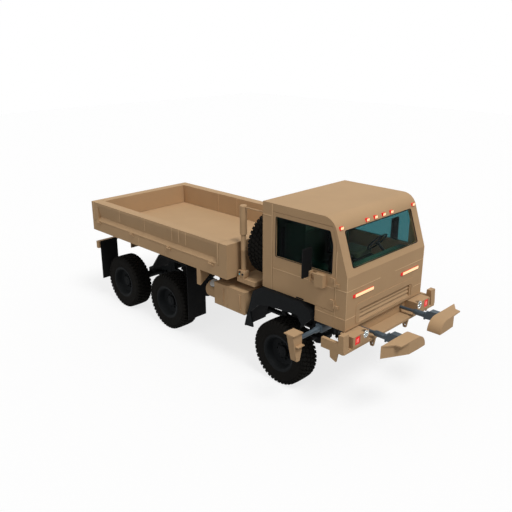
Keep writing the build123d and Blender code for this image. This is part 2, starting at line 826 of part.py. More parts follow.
# ---------------------------------------------------------------- load bed
sill_low = rail_top
bearer_low = cab_bottom
bearers = (-1240, -1700, -2300, -2950, -3785, -4551, -5150)
deck_low = deck_top - 37
edge_wall = 60
headboard_rear = bed_front - board_thickness
board_low = deck_top + board_lift
hinge_z = deck_top - 9
board_hinges = (-5100, -3900, -2700, -1500)
gate_hinges = (-850, 0, 850)
with BuildPart() as bed_frame:
    for side, _ in SIDES:
        block((frame_rear, bed_front - 60), (side * rail_inner, side * rail_outer), (sill_low, bearer_low))
        block(
            (bed_rear, bed_front),
            (side * (bed_half_width - edge_wall), side * bed_half_width),
            (bed_rail_low, deck_top),
        )
    for end in (bed_rear, bed_front - edge_wall):
        block((end, end + edge_wall), (-bed_half_width, bed_half_width), (bed_rail_low, deck_top))
    for bearer in bearers:
        half = bed_half_width - edge_wall
        outline = (
            (-half, bearer_low),
            (half, bearer_low),
            (half, deck_low),
            (-half, deck_low),
        )
        prism(outline, bearer - 45, bearer + 45, Plane.YZ.offset)
    block((headboard_rear, bed_front), (-bed_half_width, bed_half_width), (deck_top, bed_top))
    for side, _ in SIDES:
        bracket = (
            (side * bed_half_width, bed_rail_low),
            (side * bed_half_width, bed_rail_low - 300),
            (side * (bed_half_width - 226), bed_rail_low - 143),
            (side * (bed_half_width - 226), bed_rail_low),
        )
        prism(bracket, -1880, -1780, Plane.YZ.offset)
        block((-1880, -1780), (side * (bed_half_width - 226), side * 820), (bed_rail_low - 60, bed_rail_low))
        for hinge in board_hinges:
            line_point = (hinge, side * (bed_half_width + hinge_out), hinge_z)
            hinge_base(line_point, (1, 0, 0), (0, 0, -1), (0, side, 0), plate=board_leaf_reach)
    for hinge in gate_hinges:
        line_point = (bed_rear - hinge_out, hinge, hinge_z)
        hinge_base(line_point, (0, 1, 0), (0, 0, -1), (-1, 0, 0), plate=board_leaf_reach)
write("bed_frame", bed_frame)

with BuildPart() as bed_floor:
    block(
        (bed_rear + edge_wall, bed_front - edge_wall),
        (-(bed_half_width - edge_wall), bed_half_width - edge_wall),
        (deck_low, deck_top),
    )
write("bed_floor", bed_floor)

board_front = headboard_rear - panel_gap
groove = (-5105, -1330)
for side, tag in SIDES:
    face_y = side * bed_half_width
    with BuildPart() as side_board:
        block((bed_rear, board_front), (face_y, face_y - side * board_thickness), (board_low, bed_top))
        shape = ((face_y, bed_top - 54), (face_y - side * groove_depth, 1925), (face_y, 1855))
        prism(shape, *groove, Plane.YZ.offset, mode=Mode.SUBTRACT)
        for hinge in board_hinges:
            line_point = (hinge, side * (bed_half_width + hinge_out), hinge_z)
            hinge_leaf(line_point, (0, 0, 1), (0, side, 0), moving_leaf, bore=True, plate=board_leaf_reach)
    write(f"side_board_{tag}", side_board)

with BuildPart() as tailgate:
    gate_half = bed_half_width - board_thickness - panel_gap
    block((bed_rear, bed_rear + board_thickness), (-gate_half, gate_half), (board_low, bed_top))
    for hinge in gate_hinges:
        line_point = (bed_rear - hinge_out, hinge, hinge_z)
        hinge_leaf(line_point, (0, 0, 1), (-1, 0, 0), moving_leaf, bore=True, plate=board_leaf_reach)
write("tailgate", tailgate)

# ---------------------------------------------------------------- guards, tanks, box and stack
flap_wall = 12
guard_front = -2333
guard_top = 1520
guard_low = guard_top - 20
guard_path = (
    (-3476, 1168),
    (-3205, guard_top),
    (guard_front, guard_top),
    (guard_front, guard_low),
    (-3190, guard_low),
    (-3448, 1160),
)
with BuildPart() as mud_flaps:
    for side, _ in SIDES:
        ends = sorted((side * 700, side * tyre_face_y))
        prism(guard_path, *ends, side_view)
        block((guard_front - flap_wall, guard_front), ends, (400, guard_low))
        for stay_x in (-2370, -2970):
            block((stay_x, stay_x + 30), (side * 900, side * 940), (guard_top, bearer_low))
        block((frame_rear, frame_rear + flap_wall), (side * 777, side * 1200), (480, 1345))
write("mud_flaps", mud_flaps)

crossbar_top = 1370
light_box = (820, 1243)
tow_plate_low = 1000
with BuildPart() as rear_crossbar:
    block((frame_rear - 20, frame_rear), (-rail_outer, rail_outer), (tow_plate_low, crossbar_top))
    block((frame_rear - 80, frame_rear), (-light_box[1], light_box[1]), (1300, 1345))
    for side, _ in SIDES:
        block((frame_rear - 80, frame_rear), (side * light_box[0], side * light_box[1]), (1190, 1300))
    block((crossbar_rear, frame_rear - 20), (-60, 60), (1040, 1080))
    rod((frame_rear - 85, 0, 1000), (frame_rear - 85, 0, 1100), 24, mode=Mode.SUBTRACT, sides=0)
write("rear_crossbar", rear_crossbar)

box_top = 1427
box_low = 1012
hang_z = (rail_low + 10, rail_low + 80)  # height of the arms that hold boxes and tanks
with BuildPart() as tool_box:
    block((-1550, -780), (-1150, -640), (box_low, box_top))
    for bracket_x in (-1400, -980):
        block((bracket_x, bracket_x + 60), (-640, -rail_outer), hang_z)
write("tool_box", tool_box)

with BuildPart() as air_tank:
    rod((-1960, -880, 1130), (-1580, -880, 1130), 165, sides=facets)
    rod((-1716, -880, 1130), (-1716, -1010, 1316), 34)
    block((-1660, -1600), (-880, -rail_outer), hang_z)
write("air_tank", air_tank)

with BuildPart() as fuel_tank:
    block((-2000, -820), (640, 1120), (880, 1330))
    for bracket_x in (-1850, -1000):
        block((bracket_x, bracket_x + 60), (rail_outer, 640), hang_z)
write("fuel_tank", fuel_tank)

stack_x = -945
stack_y = -1000
stack_step = 2400
stack_top = cab_roof - 176
stay_z = stack_top - 30
with BuildPart() as intake_stack:
    block((stack_x - 75, stack_x + 75), (stack_y - 65, stack_y + 65), (rack_top, rack_top + 130))
    rod((stack_x, stack_y, rack_top + 130), (stack_x, stack_y, stack_step), 45)
    rod((stack_x, stack_y, stack_step), (stack_x, stack_y, stack_top), 62)
    rod((stack_x, stack_y, stay_z), (cab_rear, stack_y, stay_z), 12)
write("intake_stack", intake_stack)

# ---------------------------------------------------------------- short arms and their shoes
thin_arm = 28
thick_arm = 48
flange_half = 60
arm_root = frame_front + tray_thickness
arm_step = 1490
arm_end = 1700
with BuildPart() as slate_arms:
    for side, _ in SIDES:
        arm_y = side * front_arm_y
        rod((arm_root, arm_y, arm_height), (arm_step, arm_y, arm_height), thin_arm)
        rod((arm_step, arm_y, arm_height), (arm_end, arm_y, arm_height), thick_arm)
        flange_z = (arm_height - flange_half, arm_height + flange_half)
        block((arm_end, arm_end + 25), (arm_y - flange_half, arm_y + flange_half), flange_z)
        outline = (
            (arm_end + 25, arm_height - 45),
            (arm_end + 25, arm_height + 50),
            (1800, shoe_top),
            (shoe_rear, shoe_top),
            (shoe_rear, arm_height - 30),
        )
        prism(outline, arm_y - 55, arm_y + 55, side_view)
    root_z = (arm_height - 70, rail_low + 150)
    block((side_arm_x - 70, side_arm_x + 70), (-rail_outer - 15, -rail_outer), root_z)
    block((side_arm_x - 65, side_arm_x + 65), (-1060, -800), (arm_height - 60, arm_height + 70))
    rod((side_arm_x, -rail_outer, arm_height), (side_arm_x, -1150, arm_height), thick_arm)
    rod((side_arm_x, -1150, arm_height), (side_arm_x, -1500, arm_height), 36)
write("slate_arms", slate_arms)

shoe_flat = 430
shoe_round = 205
shoe_crease = 650
lid = 20
with BuildPart() as shoes:
    for side, _ in SIDES:
        lower = (
            (shoe_rear, side * shoe_flat),
            (shoe_rear, side * shoe_tip_y),
            (shoe_front - 10, side * shoe_crease),
            (shoe_front, side * shoe_flat),
        )
        prism(lower, shoe_low, shoe_top - lid, Plane.XY.offset)
        upper = (
            (shoe_rear, side * shoe_flat),
            (shoe_rear, side * shoe_tip_y),
            (shoe_rear + 118, side * 885),
            (shoe_front - 20, side * 863),
            (shoe_front - 10, side * shoe_crease),
            (shoe_front, side * shoe_flat),
        )
        prism(upper, shoe_top - lid, shoe_top, Plane.XY.offset)
        with BuildSketch(Plane.YZ.offset(shoe_rear)) as nose:
            with BuildLine():
                Line((side * shoe_flat, shoe_low), (side * shoe_flat, shoe_top))
                ThreePointArc(
                    (side * shoe_flat, shoe_top),
                    (side * (shoe_flat - 0.72 * shoe_round), shoe_low + 0.7 * (shoe_top - shoe_low)),
                    (side * (shoe_flat - shoe_round), shoe_low),
                )
                Line((side * (shoe_flat - shoe_round), shoe_low), (side * shoe_flat, shoe_low))
            make_face()
        extrude(nose.sketch, amount=shoe_front - shoe_rear)
    bracket = (
        (-1500, shoe_top),
        (-side_bracket_out, shoe_top),
        (-side_bracket_out, shoe_top - 20),
        (-1610, arm_height - 355),
        (-1540, arm_height - 355),
        (-1500, arm_height - 190),
    )
    prism(bracket, side_arm_x - 80, side_arm_x + 40, Plane.YZ.offset)
    block((side_arm_x - 135, side_arm_x + 65), (-side_bracket_out, -1500), (shoe_top - 16, shoe_top))
    block((side_arm_x - 80, side_arm_x + 95), (-1650, -1500), (arm_height - 100, arm_height - 84))
write("shoes", shoes)
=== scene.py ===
"""Looks for the six-wheeled cargo truck: finishes for its CAD nodes and the finer pieces that ride on them.

Lengths are metres, and +X is forward, +Y the truck's left and +Z up. Places are given from a datum, the
middle of the front axle at the ground, which is read from the boxes of the CAD tyres.
"""

import json
import logging
from dataclasses import dataclass
from enum import Enum
from functools import cache
from math import cos, pi, radians, sin

import bpy
import bmesh
import numpy as np
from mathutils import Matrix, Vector


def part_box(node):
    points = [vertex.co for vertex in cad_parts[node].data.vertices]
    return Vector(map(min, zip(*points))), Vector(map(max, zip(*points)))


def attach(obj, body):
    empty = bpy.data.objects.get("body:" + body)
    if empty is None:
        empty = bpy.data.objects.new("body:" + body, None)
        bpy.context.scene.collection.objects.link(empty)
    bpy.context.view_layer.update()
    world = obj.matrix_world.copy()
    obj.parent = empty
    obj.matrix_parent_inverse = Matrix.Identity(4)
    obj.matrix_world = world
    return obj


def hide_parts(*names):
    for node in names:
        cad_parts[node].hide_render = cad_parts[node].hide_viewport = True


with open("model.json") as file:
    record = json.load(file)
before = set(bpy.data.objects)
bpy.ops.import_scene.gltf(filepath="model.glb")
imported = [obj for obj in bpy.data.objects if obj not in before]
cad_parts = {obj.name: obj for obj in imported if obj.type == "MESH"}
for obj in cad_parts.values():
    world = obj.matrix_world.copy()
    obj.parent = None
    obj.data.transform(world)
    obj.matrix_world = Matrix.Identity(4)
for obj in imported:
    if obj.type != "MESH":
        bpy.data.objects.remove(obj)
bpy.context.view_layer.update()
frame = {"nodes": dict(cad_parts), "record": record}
log = logging.getLogger("truck")
Point = tuple[float, float, float]
Pair = tuple[float, float]
SIDES = ((-1, "r"), (1, "l"))  # sign of y and the tag of each side
SUNK = 0.002  # how far a bead is let into the panel it sits on
SEAM_EDGE = 0.003  # radius of a seam's edges


class Hue(Enum):
    """sRGB colours of the truck's surfaces."""

    SAND = "#BE9C76"
    SAND_DARK = "#AF8F6B"
    # painted highlight: the lighter sand of lit seam edges
    SAND_HIGHLIGHT = "#E6C79C"
    DUST = "#C7A982"
    TYRE = "#141414"
    TYRE_DUST = "#1F1D1A"
    BLACK_PAINT = "#0E0F10"
    CHASSIS = "#15181A"
    SLATE = "#3A464F"
    SLATE_EDGE = "#55626B"
    CHROME = "#D8D8D6"
    LENS = "#E8EEF0"
    RED = "#B80C10"
    RED_GLOW = "#E80E10"
    LAMP_CORE = "#FFD9A6"
    SIGNAL_CORE = "#FF7A70"
    # colour of the sight glass's painted glow
    GAUGE = "#35C7D8"
    GLASS = "#D6E6E4"
    DARK_GLASS = "#3E7278"
    HEADLINER = "#77716A"
    DASH = "#1B5E47"
    SEAT = "#66724A"
    SEAT_PIPING = "#4A5433"
    PAN = "#1A1C1B"
    IRON = "#24231F"
    FLOOR = "#929290"
    WHITE = "#FFFFFF"
    CAP = "#D9D9D4"


def linear(hue: Hue) -> tuple[float, float, float, float]:
    """Turn an sRGB hex colour into the linear colour that shaders take.

    Args:
        hue: the surface's colour.

    Returns:
        Linear red, green, blue and an alpha of one.
    """
    channels = [int(hue.value[i : i + 2], 16) / 255 for i in (1, 3, 5)]
    bent = [c / 12.92 if c <= 0.04045 else ((c + 0.055) / 1.055) ** 2.4 for c in channels]
    return (bent[0], bent[1], bent[2], 1.0)


# ---------------------------------------------------------------- shapes
@dataclass
class Shape:
    """A surface as an array of points and a list of faces by point number."""

    points: np.ndarray
    faces: list[list[int]]

    def plus(self, *others: "Shape") -> "Shape":
        """Join shapes into one.

        Args:
            others: the shapes to add.

        Returns:
            One shape that holds them all.
        """
        points, faces, start = [self.points], list(self.faces), len(self.points)
        for other in others:
            points.append(other.points)
            faces += [[start + i for i in face] for face in other.faces]
            start += len(other.points)
        return Shape(np.concatenate(points), faces)

    def moved(self, offset: Point) -> "Shape":
        """Carry the shape by an offset."""
        return Shape(self.points + offset, self.faces)


def joined(shapes: list[Shape]) -> Shape:
    """Join a list of shapes into one."""
    return shapes[0].plus(*shapes[1:])


def skin(rings: np.ndarray, along: bool = False) -> Shape:
    """Cover a grid of points, closed rings by points, with four-sided faces.

    Args:
        rings: array of rings by points by three.
        along: whether the last ring joins the first; otherwise both are filled.

    Returns:
        The covered shape.
    """
    count, size = rings.shape[:2]
    index = np.arange(count * size).reshape(count, size)
    index = np.concatenate([index, index[:, :1]], axis=1)
    if along:
        index = np.concatenate([index, index[:1]], axis=0)
    quads = np.stack([index[:-1, :-1], index[:-1, 1:], index[1:, 1:], index[1:, :-1]], axis=-1)
    faces = quads.reshape(-1, 4).tolist()
    if not along:
        faces.append(list(range(size))[::-1])
        faces.append(list(range((count - 1) * size, count * size)))
    return Shape(rings.reshape(-1, 3), faces)


def rounded_outline(width: float, height: float, radius: float, steps: int = 3) -> np.ndarray:
    """Rectangle about zero whose corners are quarter circles of the given radius.

    Args:
        width: its full width.
        height: its full height.
        radius: radius of the corners.
        steps: faces in each corner.

    Returns:
        Array of points by two.
    """
    radius = min(radius, width / 2, height / 2)
    turn = np.linspace(0, pi / 2, steps + 1)
    corners = []
    for quarter, (sx, sy) in enumerate(((1, 1), (-1, 1), (-1, -1), (1, -1))):
        centre = np.array([sx * (width / 2 - radius), sy * (height / 2 - radius)])
        angle = turn + quarter * pi / 2
        corners.append(centre + radius * np.stack([np.cos(angle), np.sin(angle)], axis=1))
    return np.concatenate(corners)


AXES = {"x": (0, 1, 2), "y": (1, 2, 0), "z": (2, 0, 1)}


def bar(low: Point, high: Point, along: str = "x", radius: float = 0.004, steps: int = 2) -> Shape:
    """Straight bar with rounded edges: a rounded rectangle carried along one axis and drawn in at its ends.

    Args:
        low: lowest corner.
        high: highest corner.
        along: axis the rounded rectangle is carried along.
        radius: radius of the edges.
        steps: faces in each rounded edge.

    Returns:
        The bar's closed surface.
    """
    lows, highs = np.minimum(low, high), np.maximum(low, high)
    run, across, up = AXES[along]
    size = highs - lows
    radius = min(radius, size.min() / 2.01)
    bend = np.linspace(0, pi / 2, steps + 1)
    inset = np.concatenate([radius * (1 - np.sin(bend)), radius * (1 - np.sin(bend[::-1]))])
    reach = np.concatenate([radius * (1 - np.cos(bend)), size[run] - radius * (1 - np.cos(bend[::-1]))])
    rings = []
    for shrink, station in zip(inset, reach):
        outline = rounded_outline(size[across] - 2 * shrink, size[up] - 2 * shrink, radius, steps)
        ring = np.zeros((len(outline), 3))
        ring[:, run] = lows[run] + station
        ring[:, across] = outline[:, 0] + (lows[across] + highs[across]) / 2
        ring[:, up] = outline[:, 1] + (lows[up] + highs[up]) / 2
        rings.append(ring)
    return skin(np.array(rings))


def basis(direction: np.ndarray) -> tuple[np.ndarray, np.ndarray]:
    """Two unit directions square to this one and to each other.

    Args:
        direction: any direction.

    Returns:
        The two unit directions.
    """
    direction = direction / np.linalg.norm(direction)
    helper = np.array([0.0, 0.0, 1.0]) if abs(direction[2]) < 0.9 else np.array([1.0, 0.0, 0.0])
    first = np.cross(helper, direction)
    first /= np.linalg.norm(first)
    return first, np.cross(direction, first)


def turned(start: Point, end: Point, profile: list[Pair], sides: int = 32) -> Shape:
    """Solid of revolution between two points: a circle whose radius follows a profile along the axis.

    Args:
        start: point where the axis starts.
        end: point where it ends.
        profile: (share of the length, radius) pairs, from start to end.
        sides: faces round the axis.

    Returns:
        The closed surface, capped at both ends.
    """
    origin, axis = np.array(start), np.array(end) - np.array(start)
    first, second = basis(axis)
    angle = np.linspace(0, 2 * pi, sides, endpoint=False)
    circle = np.outer(np.cos(angle), first) + np.outer(np.sin(angle), second)
    rings = [origin + share * axis + radius * circle for share, radius in profile]
    return skin(np.array(rings))


def tube(path: list[Point], radius: float, sides: int = 10) -> Shape:
    """Round tube along a smooth path: circles square to the path at each of its points.

    Args:
        path: points along its middle.
        radius: the circles' radius.
        sides: faces round it.

    Returns:
        The closed surface, capped at both ends.
    """
    points = np.array(path, float)
    ahead = np.gradient(points, axis=0)
    angle = np.linspace(0, 2 * pi, sides, endpoint=False)
    first, _ = basis(ahead[0])
    rings = []
    for point, direction in zip(points, ahead):
        direction = direction / np.linalg.norm(direction)
        first = first - direction * np.dot(first, direction)
        first /= np.linalg.norm(first)
        second = np.cross(direction, first)
        rings.append(point + radius * (np.outer(np.cos(angle), first) + np.outer(np.sin(angle), second)))
    return skin(np.array(rings))


def curve_through(points: list[Point], steps: int = 6) -> list[Point]:
    """Smooth path through a few points: a Catmull-Rom spline with its ends repeated.

    Args:
        points: the points it goes through.
        steps: pieces between two of them.

    Returns:
        Points along the path.
    """
    knots = np.array([points[0], *points, points[-1]], float)
    share = np.linspace(0, 1, steps, endpoint=False)[:, None]
    path = []
    for a, b, c, d in zip(knots, knots[1:], knots[2:], knots[3:]):
        linear_part = (c - a) * share
        square_part = (2 * a - 5 * b + 4 * c - d) * share**2
        cube_part = (3 * b - 3 * c + d - a) * share**3
        path += (b + 0.5 * (linear_part + square_part + cube_part)).tolist()
    return [tuple(p) for p in path] + [tuple(points[-1])]


def softened(corners: list[Pair], radius: float, steps: int = 4) -> np.ndarray:
    """Closed outline with bent corners.

    Each corner c gives way to the parabola (1-t)^2 a + 2t(1-t) c + t^2 b, where a and b lie the radius
    away from it along its two sides.

    Args:
        corners: the outline's corners in order.
        radius: distance from each corner at which the bend starts.
        steps: straight pieces in each bend.

    Returns:
        Array of points by two.
    """
    points = np.array(corners, float)
    back = np.roll(points, 1, axis=0) - points
    ahead = np.roll(points, -1, axis=0) - points
    start = points + radius * back / np.linalg.norm(back, axis=1, keepdims=True)
    end = points + radius * ahead / np.linalg.norm(ahead, axis=1, keepdims=True)
    t = np.linspace(0, 1, steps + 1)[None, :, None]
    bends = (1 - t) ** 2 * start[:, None] + 2 * t * (1 - t) * points[:, None] + t**2 * end[:, None]
    return bends.reshape(-1, 2)


def bead(path: np.ndarray, normal: Point, radius: float, sides: int = 8) -> Shape:
    """Round bead along a closed flat path.

    At each point a circle of the radius is drawn on the path's normal and the direction square to both
    the normal and the path.

    Args:
        path: array of points by three.
        normal: direction square to the path's plane.
        radius: the bead's radius.
        sides: faces round the bead.

    Returns:
        The closed ring.
    """
    ahead = np.roll(path, -1, axis=0) - np.roll(path, 1, axis=0)
    ahead /= np.linalg.norm(ahead, axis=1, keepdims=True)
    up = np.array(normal, float) / np.linalg.norm(normal)
    aside = np.cross(ahead, up)
    turn = np.linspace(0, 2 * pi, sides, endpoint=False)[None, :, None]
    return skin(path[:, None] + radius * (np.cos(turn) * aside[:, None] + np.sin(turn) * up), along=True)


def plate(outline: list[Pair], low: float, high: float, across: str = "y") -> Shape:
    """Flat plate: an outline carried between two positions along the named axis.

    Args:
        outline: pairs along the two axes that follow the named one.
        low: position of one face.
        high: position of the other face.
        across: axis through its thickness.

    Returns:
        The closed plate.
    """
    run, first, second = AXES[across]
    rings = np.zeros((2, len(outline), 3))
    for ring, position in zip(rings, (low, high)):
        ring[:, run] = position
        ring[:, first] = [p[0] for p in outline]
        ring[:, second] = [p[1] for p in outline]
    return skin(rings)


def rivets(places: list[Point], outward: Point, radius: float = 0.009, height: float = 0.004) -> Shape:
    """Low domed heads, each a small turned button on its place.

    Args:
        places: middles of the heads' feet.
        outward: direction they stand out in.
        radius: radius of each foot.
        height: how far each stands out.

    Returns:
        All the heads.
    """
    direction = np.array(outward, float)
    profile = [(-0.2, radius), (0.35, radius), (0.8, 0.72 * radius), (1.0, 0.3 * radius)]
    heads = [turned(p, tuple(np.array(p) + height * direction), profile, sides=8) for p in places]
    return joined(heads)


def rectangle(half: float, low: float, high: float, radius: float) -> np.ndarray:
    """Outline of a window: corners at plus and minus half, between two heights, bent over the radius."""
    return softened([(-half, low), (half, low), (half, high), (-half, high)], radius)


# ---------------------------------------------------------------- finishes
Socket = bpy.types.NodeSocket
BUMP_DEPTH = 0.002  # height of a bump at full strength
WAVE_UNIT = 3.2  # waves to the metre that the wave texture draws at a scale of one


@dataclass(frozen=True)
class Graph:
    """A node tree, with a call for each kind of node that the finishes share."""

    tree: bpy.types.NodeTree

    def add(self, kind: str, sockets: dict | None = None, **settings: str) -> bpy.types.Node:
        """Add a shader node with its settings, values and links.

        Args:
            kind: the node's type name without its leading ShaderNode.
            sockets: input name or number to a value, or to the output socket that feeds it.
            settings: the node's own properties.

        Returns:
            The new node.
        """
        node = self.tree.nodes.new(f"ShaderNode{kind}")
        for name, value in settings.items():
            setattr(node, name, value)
        for socket, value in (sockets or {}).items():
            if isinstance(value, Socket):
                self.tree.links.new(value, node.inputs[socket])
            else:
                node.inputs[socket].default_value = value
        return node

    def place(self) -> Socket:
        """Object coordinates, which are those of the part's frame."""
        return self.add("TexCoord").outputs["Object"]

    def noise(self, scale: float, detail: float, roughness: float = 0.5) -> Socket:
        """Cloudy noise from 0 to 1, read in the Object coordinates.

        Args:
            scale: lumps to the metre.
            detail: number of finer layers.
            roughness: strength of the finer layers.

        Returns:
            The socket that holds it.
        """
        sockets = {"Vector": self.place(), "Scale": scale, "Detail": detail, "Roughness": roughness}
        return self.add("TexNoise", sockets).outputs["Fac"]

    def threads(self, waves: float, direction: str) -> Socket:
        """Slightly uneven parallel threads across a direction, given as waves to the metre."""
        sockets = {"Vector": self.place(), "Scale": waves / WAVE_UNIT, "Distortion": 0.6}
        return self.add("TexWave", sockets, bands_direction=direction).outputs["Fac"]

    def spread(self, value: Socket, low: float, high: float, start: float = 0.0) -> Socket:
        """Carry a value from the span between start and 1 to the span between low and high."""
        sockets = {"Value": value, "From Min": start, "To Min": low, "To Max": high}
        return self.add("MapRange", sockets).outputs["Result"]

    def blend(self, share: Socket, first: Hue | Socket, second: Hue) -> Socket:
        """Mix a colour with a second one, by the second one's share."""
        under = linear(first) if isinstance(first, Hue) else first
        return self.add("Mix", {0: share, 6: under, 7: linear(second)}, data_type="RGBA").outputs[2]

    def bump(self, height: Socket, strength: float) -> Socket:
        """Surface direction bent by a height."""
        sockets = {"Height": height, "Strength": strength, "Distance": BUMP_DEPTH}
        return self.add("Bump", sockets).outputs["Normal"]

    def combine(self, operation: str, first: Socket, second: Socket) -> Socket:
        """One number worked out from two."""
        return self.add("Math", {0: first, 1: second}, operation=operation).outputs[0]

    def surface(self, shader: bpy.types.Node) -> None:
        """Send a shader to the material's surface."""
        self.add("OutputMaterial", {"Surface": shader.outputs[0]})


def blank(name: str) -> tuple[bpy.types.Material, Graph]:
    """Start a material with an empty node tree.

    Args:
        name: the material's name.

    Returns:
        The material and its tree.
    """
    material = bpy.data.materials.new(name)
    material.use_nodes = True
    material.node_tree.nodes.clear()
    return material, Graph(material.node_tree)


@dataclass(frozen=True)
class Finish:
    """A named look, made into a material when the first piece wears it."""

    name: str

    def sockets(self, graph: Graph) -> dict:
        """Values and links of the Principled shader, which each kind of finish gives."""
        raise NotImplementedError(self.name)

    @cache
    def make(self) -> bpy.types.Material:
        """Build the material once.

        Returns:
            The finished material.
        """
        material, graph = blank(self.name)
        graph.surface(graph.add("BsdfPrincipled", self.sockets(graph)))
        return material


@dataclass(frozen=True)
class Coat(Finish):
    """A painted, moulded or rubber surface with soft tone changes, dust on its upward faces and fine grain.

    tone_m is the size of the tone patches and grain_mm that of the bumps. Dust starts where a face's
    upward share passes tilt, and speckle is the number of dusty specks to the metre. Specks make the
    roughness wander by the two amounts of uneven, down and up.
    """

    base: Hue
    shade: Hue
    dust: Hue
    roughness: float
    dust_share: float = 0.35
    tone_m: float = 0.7
    grain_mm: float = 6.0
    grain_depth: float = 0.08
    gloss: float = 0.3
    tilt: float = 0.2
    speckle: float = 9.0
    uneven: Pair = (0.08, 0.12)

    def sockets(self, graph: Graph) -> dict:
        """Lay the tones, the dust and the grain.

        Args:
            graph: the material's tree.

        Returns:
            The shader's values and links.
        """
        tone = graph.blend(graph.noise(1 / self.tone_m, 5.0), self.base, self.shade)
        facing = graph.add("NewGeometry").outputs["Normal"]
        height = graph.add("SeparateXYZ", {"Vector": facing}).outputs["Z"]
        specks = graph.noise(self.speckle, 8.0, 0.65)
        settled = graph.combine("MULTIPLY", graph.spread(height, 0.0, self.dust_share, self.tilt), specks)
        smoothest, dullest = self.roughness - self.uneven[0], min(1.0, self.roughness + self.uneven[1])
        return {
            "Base Color": graph.blend(settled, tone, self.dust),
            "Roughness": graph.spread(specks, smoothest, dullest),
            "Specular IOR Level": self.gloss,
            "Normal": graph.bump(graph.noise(1000 / self.grain_mm, 3.0), self.grain_depth),
        }


@dataclass(frozen=True)
class Pane(Finish):
    """Clear sheet with a faint blue-green tint and slight haze, in patches of film to the metre.

    Its index of refraction is low, since a thin flat pane hardly bends what is seen through it.
    """

    tint: Hue
    bending: float = 1.1
    haze: float = 0.008
    film: float = 3.0

    def sockets(self, graph: Graph) -> dict:
        """Tint the sheet and lay the film on it.

        Args:
            graph: the material's tree.

        Returns:
            The shader's values and links.
        """
        return {
            "Base Color": linear(self.tint),
            "Roughness": graph.spread(graph.noise(self.film, 6.0), 0.0, self.haze),
            "Transmission Weight": 1.0,
            "IOR": self.bending,
        }


@dataclass(frozen=True)
class Glow(Finish):
    """Moulded lens lit from behind, with so many fine ribs to the metre; on the gauge's sight glass, which
    holds no lamp, the glow is painted light.
    """

    lens: Hue
    core: Hue
    strength: float
    roughness: float = 0.3
    gloss: float = 0.2
    ribs: float = 90.0
    rib_depth: float = 0.25

    def sockets(self, graph: Graph) -> dict:
        """Light the lens and rib it.

        Args:
            graph: the material's tree.

        Returns:
            The shader's values and links.
        """
        return {
            "Base Color": linear(self.lens),
            "Roughness": self.roughness,
            "Specular IOR Level": self.gloss,
            "Emission Color": linear(self.core),
            "Emission Strength": self.strength,
            "Normal": graph.bump(graph.noise(self.ribs, 2.0), self.rib_depth),
        }


@dataclass(frozen=True)
class Bright(Finish):
    """Plated or polished metal: near-mirror, dulled a little by wiping marks, so many to the metre."""

    metal: Hue
    roughness: float
    dulled: float = 0.1
    marks: float = 60.0

    def sockets(self, graph: Graph) -> dict:
        """Polish the metal and mark it, as the shader's values and links."""
        marked = graph.spread(graph.noise(self.marks, 4.0), self.roughness, self.roughness + self.dulled)
        return {"Base Color": linear(self.metal), "Metallic": 1.0, "Roughness": marked}


@dataclass(frozen=True)
class Cloth(Finish):
    """Woven seat canvas, its crossed threads drawn about 4 mm wide, coarser than real, so that they show."""

    thread: Hue
    shade: Hue
    waves: float = 125.0  # to the metre, of two threads each
    weave_depth: float = 0.35
    roughness: float = 0.92
    sheen: float = 0.25
    worn: float = 6.0  # patches to the metre

    def sockets(self, graph: Graph) -> dict:
        """Cross the threads and wear the colour.

        Args:
            graph: the material's tree.

        Returns:
            The shader's values and links.
        """
        weft, warp = (graph.threads(self.waves, direction) for direction in ("Y", "DIAGONAL"))
        return {
            "Base Color": graph.blend(graph.noise(self.worn, 5.0), self.thread, self.shade),
            "Roughness": self.roughness,
            "Sheen Weight": self.sheen,
            "Normal": graph.bump(graph.combine("MULTIPLY", weft, warp), self.weave_depth),
        }


